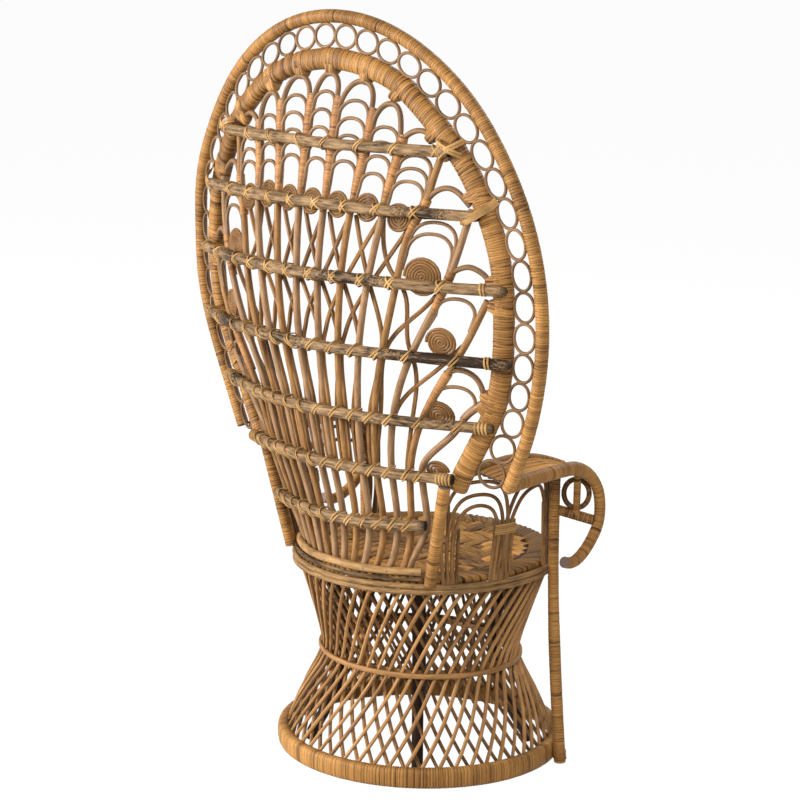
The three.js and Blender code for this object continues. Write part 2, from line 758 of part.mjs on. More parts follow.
// Post with level ends
function uprightPost(points, radius, steps) {
  const line = points.length === 2
    ? new THREE.LineCurve3(points[0], points[1])
    : new THREE.CatmullRomCurve3(points, false, 'centripetal');
  const rings = line.getPoints(steps).map((p) => {
    const ring = [];
    for (let k = 0; k < 8; k += 1) {
      const turn = (2 * Math.PI * (k + 0.5)) / 8;
      ring.push(vec([p.x + radius * Math.cos(turn), p.y + radius * Math.sin(turn), p.z]));
    }
    return ring;
  });
  return skin(rings, false);
}

// Point of a rail at a given depth
function atDepth(list, y) {
  const i = Math.max(1, list.findIndex((p) => p[1] <= y));
  const t = (list[i - 1][1] - y) / (list[i - 1][1] - list[i][1]);
  return list[i - 1].map((value, k) => value + (list[i][k] - value) * t);
}

// Armrest panel between the two rails
function armPanel(place) {
  const rings = [];
  for (let k = 0; k <= 6; k += 1) {
    const y = armPanelBack + ((armPanelFront - armPanelBack) * k) / 6;
    const low = atDepth(innerRail, y);
    const high = atDepth(rail, y);
    const insideX = low[0] + innerRailRadius + 2 * gap;
    const outsideX = high[0] - railRadius - 2 * gap;
    const half = armPanelThick / 2;
    rings.push([
      place([insideX, y, low[2] - half]), place([outsideX, y, high[2] - half]),
      place([outsideX, y, high[2] + half]), place([insideX, y, low[2] + half]),
    ]);
  }
  return skin(rings, false);
}

// Brace from the post to the scroll, a stick up to the armrest and a ring round the stick
function armBrace(place) {
  const postSpot = armPost[1].map((value, k) => (value + armPost[2][k]) / 2);
  const railSpot = atDepth(rail.slice(5), braceRailDepth[0]);
  const away = new THREE.Vector2(railSpot[0] - postSpot[0], braceRailDepth[1] - postSpot[1]);
  const length = away.length();
  away.normalize();
  const spot = (reach, height) => place([postSpot[0] + away.x * reach, postSpot[1] + away.y * reach, height]);
  const start = armPostRadius + 5 * gap;
  const finish = length - railRadius - 3;
  const bar = tube([spot(start, braceHeight[0]), spot(finish, braceHeight[1])], braceRadius, 8, 1);
  const middle = (start + finish) / 2;
  const centre = (braceHeight[0] + braceHeight[1]) / 2;
  const head = place([postSpot[0] + stickHead[0], stickHead[1], stickHead[2]]);
  const stick = tube([spot(middle, centre), head], stickRadius, 6, 1);
  const ringCentre = centre + armRingRise;
  const [ringWide, ringTall] = armRing;
  const loop = [];
  for (let k = 0; k < 12; k += 1) {
    const turn = (2 * Math.PI * k) / 12;
    const grow = (width, height) => (
      spot(middle + width * Math.cos(turn), ringCentre + height * Math.sin(turn))
    );
    const depth = place([away.y * armRingCane, -away.x * armRingCane, 0]);
    loop.push([
      grow(ringWide + armRingCane, ringTall + armRingCane), grow(ringWide, ringTall).add(depth),
      grow(ringWide - armRingCane, ringTall - armRingCane), grow(ringWide, ringTall).sub(depth),
    ]);
  }
  return fuse([bar, stick, skin(loop, true)]);
}

// Nested side loops standing on the lower seat hoop, joined by the tie round their middle bundle
function armLoops(side) {
  const foot = seatHoopTop + gap;
  const ringSpot = (degrees, height) => {
    const angle = THREE.MathUtils.degToRad(180 - degrees);
    const upright = THREE.MathUtils.clamp((degrees - sideLeanFrom) / (sideLeanTo - sideLeanFrom), 0, 1);
    const out = sideLean * (1 - upright) * (height - foot);
    const spot = ovalPoint(poleCentre + out, poleCentre * depthRatio + out, seatShift, angle, height);
    return vec([side * spot.x, spot.y, spot.z]);
  };
  const pieces = sideLoops.map(([from, to, peak]) => {
    const middle = (from + to) / 2;
    const width = to - from;
    const shoulder = foot + (peak - foot) * 0.72;
    const line = [
      ringSpot(from, foot), ringSpot(from, shoulder), ringSpot(middle - width * 0.3, peak - 9),
      ringSpot(middle, peak), ringSpot(middle + width * 0.3, peak - 9), ringSpot(to, shoulder),
      ringSpot(to, foot),
    ];
    return tube(line, sideCane, 3, 11);
  });
  const tie = sideTieHeight.map((height) => sideTieAngles.flatMap((degrees) => {
    const spot = ringSpot(degrees, height);
    const out = vec([spot.x, spot.y - seatShift, 0]).normalize().multiplyScalar(sideCane + 1);
    return [spot.clone().add(out), spot.clone().sub(out)];
  })).map(([a, b, c, d]) => [a, b, d, c]);
  return fuse([...pieces, skin(tie, false)]);
}

// Middle of the footprint on the origin, floor at zero
const box = new THREE.Box3().setFromObject(group);
const shiftY = -(box.min.y + box.max.y) / 2;
for (const mesh of group.children) {
  mesh.geometry.translate(0, shiftY, -box.min.z);
}
console.log(`least gap between coil turns ${leastCoilGap.toFixed(2)} mm`);

export default group;
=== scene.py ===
"""Peacock chair of rattan, cane and straw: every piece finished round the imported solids.

Lengths are millimetres in the chair's own frame, with the base hoop's centre on the origin: X across,
-Y to the front, +Z up. Bundle.build() turns them into metres in the CAD frame.
"""
import itertools
import math

import bpy
import numpy as np
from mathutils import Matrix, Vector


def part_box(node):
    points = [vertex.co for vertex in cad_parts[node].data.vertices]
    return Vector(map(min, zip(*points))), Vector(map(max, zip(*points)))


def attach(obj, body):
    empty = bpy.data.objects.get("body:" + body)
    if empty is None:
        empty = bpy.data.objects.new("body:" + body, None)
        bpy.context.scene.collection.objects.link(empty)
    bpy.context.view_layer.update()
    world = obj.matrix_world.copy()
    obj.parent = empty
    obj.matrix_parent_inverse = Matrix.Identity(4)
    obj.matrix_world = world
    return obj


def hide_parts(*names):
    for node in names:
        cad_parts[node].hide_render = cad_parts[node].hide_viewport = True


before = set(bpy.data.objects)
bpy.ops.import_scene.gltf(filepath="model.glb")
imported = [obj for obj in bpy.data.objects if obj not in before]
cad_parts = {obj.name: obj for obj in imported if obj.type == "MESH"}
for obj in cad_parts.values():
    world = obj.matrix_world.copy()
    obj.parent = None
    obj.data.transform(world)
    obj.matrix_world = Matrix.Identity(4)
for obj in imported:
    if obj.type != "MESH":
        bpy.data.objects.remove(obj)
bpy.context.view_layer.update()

bl_info = {
    "name": "Peacock chair",
    "version": (1, 0, 0),
    "blender": (4, 5, 0),
    "location": "3D View > Sidebar > Chair",
    "description": "Winds, weaves and lashes a rattan peacock chair round its packed frame",
    "category": "Object",
}

MM = 0.001
BASE_LOW, BASE_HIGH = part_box("base_hoop")
SHIFT_Y = 0.5 * (BASE_LOW.y + BASE_HIGH.y) / MM
UP = np.array([0.0, 0.0, 1.0])
SIDES = (("left", 1), ("right", -1))
GAP = 0.3

# Strips of peel: how far they bulge over their nominal rise, on hoops and on arms
PEEL_BULGE, ARM_BULGE = 1.6, 1.4

# Base: hoop, waist ring, lattice rods, then the dark legs and braces
BASE_WIDE, BASE_DEEP, BASE_THICK, BASE_TALL = 290.0, 275.0, 23.0, 40.0
BASE_SQUARE, BASE_STRIP = 3.2, 1.15
WAIST_WIDE, WAIST_DEEP, WAIST_SHIFT, WAIST_Z, WAIST_CANE = 212.0, 185.0, -2.0, 196.0, 5.0
WAIST_SECTION, WAIST_SQUARE, WAIST_TONE = (7.0, 10.0), 3.0, 0.55
RODS, ROD_LOW, ROD_HIGH, LAYER_STEP, ROD_FUSE, ROD_HEAD = 52, 3.0, 383.8, 9.7, 1.5, 1.4
LOWER_TWIST, UPPER_TWIST = math.radians(24), math.radians(25)
FOLD_SOFT, LOWER_BOW = 0.03, 0.11
ROD_SEAT, FOOT_SHARE = 9.5, 0.4
ROD_STRAY, ROD_SPREAD = 0.004, (0.88, 1.08)
# Tones of the outer and inner rods: the inner layer's lower tones are painted shade of the inside of the
# base
OUTER_TONES, INNER_SHADED_TONES = (0.42, 0.76), (0.12, 0.44)
LEG_RADIUS, LEG_FOOT, LEG_BEND, LEG_TOP, BRACE_REACH = 11.5, 224.0, 90.0, 184.5, 196.0
BRACE_LEVELS = (355.5, 377.1)

# Seat: stacked poles, straw rim, woven panel, upper pole, a cane under it painted dark as the shade of the
# groove, and the nails
SEAT_WIDE, SEAT_DEEP, SEAT_SHIFT, SEAT_TOP = 267.0, 253.0, -13.0, 405.0
SEAT_RATIO = SEAT_DEEP / SEAT_WIDE
POLE_RADIUS, POLE_REACH, POLE_LEVELS = 5.25, 261.75, (377.25, 387.75)
POLE_SECTION, POLE_TONE, POLE_PHASES = (10.6, 10.8), 0.42, (0.4, 2.1)
POLE_WANDER, POLE_INSET, POLE_SAG = 0.7, 0.3, 0.5
RIM_OUTER, RIM_INNER, RIM_LOW = 256.2, 208.2, 388.0
RIM_ROOM_WIDE, RIM_ROOM_TALL, RIM_SQUARE = 2.5, 3.5, 3.5
RIM_STRIP, RIM_RISE, RIM_LEAN, RIM_ODD = 14.0, 2.2, 0.8, 0.15
PANEL_REACH, PANEL_TOP, PANEL_MARGIN = 207.0, 404.0, 6.0
WEAVE_RISE, WEAVE_THICK, WEAVE_TURN, WEAVE_FLOAT = 4.0, 6.5, 4, 3
WEAVE_PACK, WEAVE_SQUARE, WEAVE_TONES = 0.92, 2.3, (0.1, 0.85)
UPPER_RADIUS, UPPER_REACH, UPPER_Z, UPPER_ENDS = 7.5, 250.7, 412.8, np.radians([36, 133])
UPPER_SAG, UPPER_TONE = 0.6, 0.6
# Cane in the groove under the upper pole, in the darkest tone of its ramp: painted shade of the groove
GROOVE_REACH, GROOVE_Z, GROOVE_SAG = 258.0, 399.5, 0.8
GROOVE_SECTION, GROOVE_SHADE_TONE = (7.0, 9.0), 0.12
LOWER_NAILS, UPPER_NAILS = np.radians(np.arange(9, 360, 24)), np.radians(np.arange(52, 132, 11))
NAIL_WIDE, NAIL_SINK, NAIL_RUN, NAIL_DOME = 5.0, 0.8, (0.0, 0.9, 1.5), (1.0, 0.95, 0.5)

# Back: height, middle line and cross curve of the shell
SHELL = np.array([
    [405, 210, 217], [502, 216, 405], [620, 245, 528], [724, 265, 574], [848, 285, 669], [977, 289, 717],
    [1103, 276, 790], [1212, 257, 870], [1270, 247, 930], [1330, 227, 1023], [1450, 205, 1500],
], float)
HOOP_RADIUS, HOOP_POLE = 12.5, 12.3
# Outer hoop from its top down one side: x, y, z
HOOP = np.array([
    [0, 211.4, 1437.5], [131, 208.1, 1418], [242, 200.1, 1366], [330, 189.9, 1292], [395.3, 181.4, 1204],
    [440.8, 173.3, 1110], [463.6, 160.7, 1000], [466.6, 153.6, 899], [448.7, 144.7, 798],
    [414.2, 136.9, 698], [371.0, 136.0, 604],
])
BAND_WIDE, BAND_THICK, BUNDLE_THICK, BUNDLE_LIFT, BAND_SQUARE = 39.0, 20.0, 31.0, -2.5, 2.4
# Inner band from its top down one side: x, height
BAND = np.array([
    [0, 1361], [89, 1351], [163, 1327], [221, 1291], [270, 1249], [311, 1203], [355, 1131], [382, 1062],
    [394, 1000], [396, 930], [389, 850], [365, 768], [326, 690], [279, 608],
], float)
BAND_TAIL = (271.0, 594.0)
HOOP_TONES = (0.5, 0.47, 0.43, 0.36, 0.4, 0.48, 0.5)
BAND_TONES = (0.47, 0.47, 0.43, 0.38, 0.42, 0.47, 0.47)
# Tabs of peel: half length, reach, how far they stand over the band, pinch, and what varies
TAB_HALF, TAB_REACH, TAB_OVER, TAB_PINCH = 12.0, 13.0, 1.6, 0.35
TAB_DRAW, TAB_STRAY, TAB_TONE = (0.8, 1.1), 0.12, 0.44
RINGS, RING_SHIFT, RING_LAP, RING_TUCK, RING_TONES = 38, 2.2, 1.8, 1.6, (0.28, 0.52)
BAR_RADIUS, BAR_SLOPE = 10.2, 0.006
# Bars from the top: half length, height, room between stake and bar
BARS = [
    (300, 1212, 1.4), (360, 1103, 1.1), (408, 977, 1.6), (409, 848, 1.9), (357, 724, 2.0),
    (276, 620, 0.7), (203, 507, 1.8),
]
LAST_SLOPE, LAST_BOW = 0.03, 8.0
BAR_TONES = (0.42, 0.42, 0.42, 0.38, 0.42, 0.4, 0.38)
BAR_TIPS, BAR_POINT = (0.8, 0.8, 0.3, 0.3, 0.7, 0.9, 0.9), 13.0
BAR_SHORT = {(5, 1): 0.91}
# Wander of a bar: height, waves along its half length, step of phase from bar to bar
BAR_WANDER = ((0.8, 3.1, 1), (0.5, 8, 2))
BAR_CLEAR, BAR_SWAY, SWAY_WAVES = 0.3, 0.3, 6
BAR_TAPER, TIP_ROUND, TIP_DARK, TIP_FADE = 0.04, 0.6, 0.45, 1.5
NODE_SWELL, NODE_WIDE, NODE_REACH, NODE_STEP = 0.07, 3.5, 0.9, 100
# Dark stains of a bar: place and spread as shares of its half length, and depth of tone
BAR_STAINS = {
    1: [(-0.72, 0.12, 0.3)], 2: [(0.55, 0.06, 0.4), (0.35, 0.1, 0.2), (-0.3, 0.15, 0.25)],
    3: [(-0.75, 0.25, 0.42), (0.62, 0.1, 0.4), (0.1, 0.12, 0.2)], 4: [(-0.6, 0.2, 0.2), (0.8, 0.1, 0.25)],
}
STAKE_RADIUS, STAKE_FOOT = 5.75, 405.3
STEM_TONES = (0.66, 0.46, 0.7, 0.42, 0.62, 0.44, 0.56)
# Stakes from the middle outwards: x, height
STAKES = [
    [(11, STAKE_FOOT), (13, 430), (17, 555), (21, 740), (28, 865), (30, 995), (33, 1080), (35, 1170),
     (36, 1250), (36, 1296)],
    [(34, STAKE_FOOT), (39, 430), (52, 555), (63, 740), (77, 865), (89, 995), (98, 1080), (111, 1170),
     (123, 1250), (126, 1281)],
    [(57, STAKE_FOOT), (65, 430), (86, 555), (104, 740), (127, 865), (152, 995), (168, 1080), (183, 1170),
     (195, 1222), (197, 1238)],
    [(81, STAKE_FOOT), (92, 430), (117, 555), (142, 740), (179, 865), (211, 995), (234, 1080), (254, 1120),
     (264, 1162), (275, 1203)],
    [(106, STAKE_FOOT), (118, 430), (148, 555), (182, 740), (241, 865), (306, 995), (331, 1080),
     (337, 1104)],
    [(130, STAKE_FOOT), (142, 430), (178, 555), (241, 740), (326, 865), (366, 945)],
    [(141, STAKE_FOOT), (152.5, 430), (193, 500), (206, 558), (213, 610), (221, 637), (287, 705),
     (316, 742), (334, 757)],
]
# Crown arch of each gap, numbered by the gap's inner stake with -1 in the middle: x, height of the peak
CROWNS = {-1: (0, 1334.5), 0: (84, 1325), 1: (161, 1290)}
# Peak heights of the nested arches of each gap
ROWS = {
    -1: (1303, 1271, 1239, 1210, 1183), 0: (1291, 1260, 1229, 1206, 1183), 1: (1249, 1222, 1197, 1166),
    2: (1203, 1180, 1157), 3: (1089, 1068), 4: (956,), 5: (793,),
}
# Rosette of each gap: height, reach, shift aside
COILS = {
    -1: (1104, 38, 0), 0: (1104, 38, 0), 1: (1104, 38, 0), 2: (1091, 38, 0), 3: (990, 38, 0),
    4: (874, 30, 0), 5: (735, 31, -8),
}
LAST_COIL = (244.0, 625.0, 23.0)
# Branch of a stake: height where it leaves the stake, then x and height along it
BRANCHES = {
    2: (1226, (214, 1243), (230, 1247), (244, 1244), (253, 1238)),
    3: (1122, (268, 1140), (279, 1147), (291, 1150), (306, 1147), (318, 1139), (328, 1129)),
    4: (998, (326, 1011), (341, 1014), (355, 1009), (365, 1002), (373, 992)),
    5: (812, (306, 825), (323, 825), (338, 816), (346, 800), (348, 778)),
}
CROWN_RADIUS, CROWN_FOOT, CROWN_HUG, CROWN_TAIL, CROWN_TONE = 5.2, 12.0, 5.0, 24.0, 0.4
ARCH_RADIUS, ARCH_RISE, ARCH_TAIL, ARCH_HUG, ARCH_ROUND = 3.5, 26.0, 28.0, 8.0, 2.3
ARCH_STEEP, ARCH_TONES, TAIL_CLOSE = 0.9, (0.36, 0.56), 0.35
BRANCH_TONE, BRANCH_WRAP_LOW, BRANCH_WRAP_HIGH = 0.42, 66.0, 6.0
COIL_RADIUS, COIL_PITCH, COIL_START, COIL_TONE = 2.85, 5.2, 0.4, 0.3
# Fine peel on the stakes: where it begins, its section, how it widens and its strips
WRAP_FROM, WRAP_WIDE, WRAP_DEEP, WRAP_LIFT, TUCK = 1116.0, 19.5, 16.0, -1.2, 11.0
WRAP_SLACK, WRAP_STEP, WRAP_NARROW, WRAP_TOP, WRAP_STRIP, WRAP_RISE = 1.5, 30.0, 2.0, 3.0, 3.4, 0.4

# Diagonals: the crossings' heights, shifts beside the stakes there, and the stakes in order across the fan
DIAGONAL_RADIUS, DIAGONAL_CANE = 3.5, 4.3
CROSSING = (1090, 977, 862, 740, 612)
PASSING = (7, -6, -8, -10, -10)
ORDERS = (-4, -3, -2, -1, 1, 2, 3, 4)
INNER_CANES, INNER_SINK, INNER_SHADES = 6, ([700, 850, 870], [0.0, 0.6, 1.0]), (0.2, 0.5)
OUTER_SINK, OUTER_SHADES = ([640, 760], [0.2, 1.0]), (0.2, 0.45)
# Outer diagonals: x, height
OUTER_CANES = [
    [(168, 1095), (194, 991), (215, 966), (223, 862), (230, 830), (216, 740), (186, 620)],
    [(298, 984), (268, 945), (184, 862), (150, 740), (122, 620)],
    [(322, 868), (275, 822), (184, 738), (158, 620)],
]

# Lashings: way of the slant and shift beside the crossing for each strip of a tie
CROSS_TIE = ((1, -2.6), (1, 2.6), (-1, 0.0))
DOUBLE_TIE = ((1, -2.7), (1, 2.7))
CROSS_BARS = (1, 2)
TIE_THICK, TIE_SQUARE, TIE_LEAN, TIE_STRAY, TIE_POINTS = 2.0, 2.4, math.radians(48), 0.08, 18
TIE_LIFT, BAR_ROOM_WIDE, BAR_ROOM_DEEP, STAKE_ROOM = 0.4, 0.6, 0.9, 0.3
TOP_MARGIN, END_MARGIN, TURN_ROOM, TURN_LIFT = 10.0, 8.0, 0.7, 0.3
# Turns of peel near both ends of a bar: bar, distances from the end, slants
END_TURNS = [
    (2, (36, 41.5), (0.15,)), (3, (36, 41.5), (0.15,)), (0, (22,), (0.9, -0.9)),
    (4, (10, 15.5, 21, 26.5), (0.1,)), (5, (4, 9.5, 15, 20.5, 26), (0.05,)),
]
# Straps over bar ends: width, then x, height and lift along the strap
STRAPS = [
    (16.0, [(334, 1088, 14), (337, 1095, 27), (349, 1102, 31), (363, 1113, 28), (375, 1123, 15),
            (384, 1134, 11)]),
    *[(5.0, [(274, 1231 + k, 14), (277, 1229 + k, 24), (292, 1221 + k, 30), (307, 1215 + k, 30),
             (320, 1208 + k, 18)]) for k in (-4, 2)],
    *[(5.0, [(278, 1200 + k, 14), (282, 1204 + k, 24), (294, 1215 + k, 31), (308, 1224 + k, 28),
             (321, 1234 + k, 13)]) for k in (-3, 3)],
]
STRAP_THICK, STRAP_SQUARE = 1.8, 3.0

# Arms, on the +X side: x, y, z
ARM_POST = [(282.5, -108, 0), (265, -101, 382), (268, -100, 593.9)]
ARM_RAIL = [
    (357, 124.7, 604), (350, 58, 606), (345, 4, 606), (340, -45, 605), (336, -82, 601),
    (333, -112, 589), (330, -139, 568), (328, -156, 542), (327, -162, 512), (328, -156, 480),
    (330, -136, 453), (333, -108, 431), (336, -75, 420), (339, -50, 426),
]
INNER_RAIL = [(256, 146, 607), (252, 60, 617), (255, -40, 615), (264, -80, 605), (278, -112, 592)]
REAR_POST = [(196.5, 162, 393.4), (266, 194, 601.7)]
POST_SHIFT = 33.0
# Tones along the arm post from foot to top: the fall near its top is painted shade under the arm rail
POST_SHADE_TONES = (0.6, 0.6, 0.58, 0.56, 0.46, 0.12)
COLLAR_FROM, COLLAR_TO, COLLAR_OVER, COLLAR_LEAN, COLLAR_TONE = 7.0, 27.0, 3.0, 0.25, 0.34
THIN_FROM, THIN_TO = 0.42, 0.56
# Wound members: node, points, thickness at both ends, stations, face, tone
ARM_MEMBERS = [
    ("arm_post", ARM_POST, (22.4, 20.4), 150, [0, -1, 0], POST_SHADE_TONES),
    ("arm_rail", ARM_RAIL, (26.0, 21.0), 220, [1, 0, 0], 0.52),
    ("arm_inner_rail", INNER_RAIL, (17.5, 17.5), 80, [1, 0, 0], 0.5),
    ("arm_rear_post", REAR_POST, (22.6, 22.6), 80, [1, 0, 0], 0.44),
]
ARM_BRACE = [(272, -105.5, 505), (321, -149, 486.5)]
ARM_STICK = [(297.5, -128, 492), (317, -109, 583)]
ARM_RING = ((297.5, -128, 538), 24.0, 28.0)
# Brace and loop under the arm rail are wound in dark tones: painted shade of the hollow there
BRACE_THICK, BRACE_SHADE_TONE, STICK_THICK, STICK_TONE = 19.5, 0.3, 13.4, 0.42
BRACE_FACE = np.array([1.0, 0.3, 0.1])
RING_THICK, RING_STRIP, RING_TONE = 9.8, 0.8, 0.14
ARMREST_ENDS, ARMREST_CANES, ARMREST_THICK, ARMREST_PACK = (108.0, -100.0), 6, 5.5, 0.96
INNER_CLEAR, OUTER_CLEAR, LEVEL_KNOTS = 9.0, 10.5, 6
ARMREST_SQUARE, ARMREST_STRAY, ARMREST_TONES = 2.6, 0.6, (0.48, 0.68)
# Loops under the arm: angles of both feet in degrees, height of the peak
SIDE_LOOPS = [
    (142.5, 167.7, 597), (144.6, 165.9, 571), (146.7, 164, 549), (169.4, 201, 590), (171.2, 198.5, 563),
]
# Short canes between their legs: angle in degrees, height of the top
PILLARS = [
    (143.5, 552), (145.6, 535), (147.8, 505), (163.2, 510), (164.9, 508), (166.8, 506), (168.6, 508),
    (170.3, 508), (172.3, 512), (197.2, 520), (199.7, 556), (202.6, 586), (204.2, 590),
]
LOOP_FOOT, SIDE_LEAN, LEAN_FROM, LEAN_TO = 393.3, 0.19, 168.0, 196.0
LOOP_SHOULDER, LOOP_SPAN, LOOP_DROP, LOOP_TONES = 0.72, 0.3, 9.0, (0.2, 0.36)
PILLAR_THICK, PILLAR_TONES = 1.8, (0.14, 0.42)
TIE_LEVELS, TIE_ANGLES, TIE_BEGIN, TIE_STEP = (486.0, 508.0), (162.8, 172.4), 2.0, 4.4
TIE_SECTION, TIE_CLEAR = (4.6, 1.8), 1.2

# Stage: floor in metres, lamp aim, lamps as place and size, and the camera in the chair's frame
FLOOR_HALF = 60.0
LAMP_AIM = (0.0, 0.0, 0.7)
LAMPS = {
    "key": ((3.2, 5.4, 2.4), 2.2), "fill": ((-3.2, 2.2, 3.0), 2.4), "front": ((0.5, -3.2, 3.4), 2.4),
}
CAMERA_SPOT, CAMERA_AIM = (-3340.0, 3230.0, 1685.0), (0.7085, -0.6740, -0.2089)
SENSOR_WIDE, CAMERA_FAR = 36.0, 200.0


def unit(vectors):
    """Each vector divided by its own length."""
    return vectors / np.linalg.norm(vectors, axis=-1, keepdims=True)


def spline(knots, values, at):
    """Natural cubic spline: bends from the three-banded system of slopes, then each span's cubic."""
    knots, values, at = (np.asarray(item, float) for item in (knots, values, at))
    values = values.reshape(len(knots), -1)
    step = np.diff(knots)
    inner = np.arange(1, len(knots) - 1)
    system = np.eye(len(knots))
    system[inner, inner - 1] = step[:-1]
    system[inner, inner] = 2 * (step[:-1] + step[1:])
    system[inner, inner + 1] = step[1:]
    right = np.zeros_like(values)
    right[1:-1] = 6 * np.diff(np.diff(values, axis=0) / step[:, None], axis=0)
    bend = np.linalg.solve(system, right)
    span = np.clip(np.searchsorted(knots, at.ravel(), side="right") - 1, 0, len(knots) - 2)
    b = ((at.ravel() - knots[span]) / step[span])[:, None]
    a = 1 - b
    cube = ((a**3 - a) * bend[span] + (b**3 - b) * bend[span + 1]) * step[span, None] ** 2 / 6
    return (a * values[span] + b * values[span + 1] + cube).reshape(at.shape + values.shape[1:])


def run_along(path):
    """Length run from the first point of a path to each of its points."""
    return np.concatenate([[0.0], np.cumsum(np.linalg.norm(np.diff(path, axis=0), axis=1))])


def pick(path, places):
    """Points of a path at the given lengths along it, by straight steps between its points."""
    run = run_along(path)
    return np.stack([np.interp(places, run, path[:, axis]) for axis in range(path.shape[1])], axis=-1)


def pick_like(values, run, places):
    """Values given along a path, read at other lengths along it by straight steps."""
    flat = values.reshape(len(values), -1)
    read = np.stack([np.interp(places, run, column) for column in flat.T], axis=-1)
    return read.reshape((len(places),) + values.shape[1:])


def through(points, count):
    """Natural spline through the points by chord length, then count stations evenly spaced along it."""
    points = np.asarray(points, float)
    chord = run_along(points)
    fine = spline(chord, points, np.linspace(0, chord[-1], 8 * count))
    return pick(fine, np.linspace(0, run_along(fine)[-1], count))


def mirrored(points, side):
    """The same points on the +X side, or across the middle for the -X side."""
    return np.asarray(points, float) * np.array([side, 1.0, 1.0])


def shell_y(x, z):
    """Depth of the back: the middle line at that height less the square of x over twice the cross curve."""
    middle, curve = np.moveaxis(spline(SHELL[:, 0], SHELL[:, 1:], z), -1, 0)
    return middle - x * x / (2 * curve)


def shell_normal(x, z):
    """Rearward normal of the back, from its slopes in x and z."""
    slope_x = (shell_y(x + 1, z) - shell_y(x - 1, z)) / 2
    slope_z = (shell_y(x, z + 1) - shell_y(x, z - 1)) / 2
    return unit(np.stack([-slope_x, np.ones_like(slope_x), -slope_z], axis=-1))


def on_shell(x, z, lift=0.0):
    """Point of the back at x and z, moved along the normal by lift."""
    x, z = np.broadcast_arrays(np.asarray(x, float), np.asarray(z, float))
    spot = np.stack([x, shell_y(x, z), z], axis=-1)
    return spot + np.asarray(lift, float)[..., None] * shell_normal(x, z)


def both_halves(half, count):
    """Whole line from its half: mirrored points, a spline and evenly spaced stations."""
    turned = half * np.where(np.arange(half.shape[1]) == 0, -1.0, 1.0)
    return through(np.concatenate([turned[:0:-1], half]), count)


def band_path(count):
    """Inner band: its outline in x and z, and the same line laid on the shell."""
    flat = both_halves(BAND, count)
    return flat, on_shell(flat[:, 0], flat[:, 1])


def oval(wide, deep, shift, angle, height):
    """Point of a level ellipse at an angle."""
    return np.stack(np.broadcast_arrays(wide * np.cos(angle), shift + deep * np.sin(angle), height), axis=-1)


def from_seat(path):
    """Level direction from the middle of the seat to each point."""
    return unit((path - [0, SEAT_SHIFT, 0]) * [1, 1, 0])


def section(wide, tall, sides, square=2.0):
    """Closed section: cosine and sine raised to 2/square, so 2 is an ellipse and more is a softened box."""
    turn = 2 * np.pi * (np.arange(sides) + 0.5) / sides
    corner = np.stack([np.cos(turn), np.sin(turn)], axis=-1)
    return np.sign(corner) * np.abs(corner) ** (2 / square) * np.array([wide, tall]) / 2


def sweep(paths, face, shape, closed=False):
    """Section points on every station: sideways along tangent x face, and upwards along side x tangent."""
    if closed:
        along = unit(np.roll(paths, -1, axis=1) - np.roll(paths, 1, axis=1))
    else:
        along = unit(np.gradient(paths, axis=1))
    side = unit(np.cross(along, face))
    up = np.cross(side, along)
    return paths[:, :, None] + shape[..., :1] * side[:, :, None] + shape[..., 1:] * up[:, :, None]


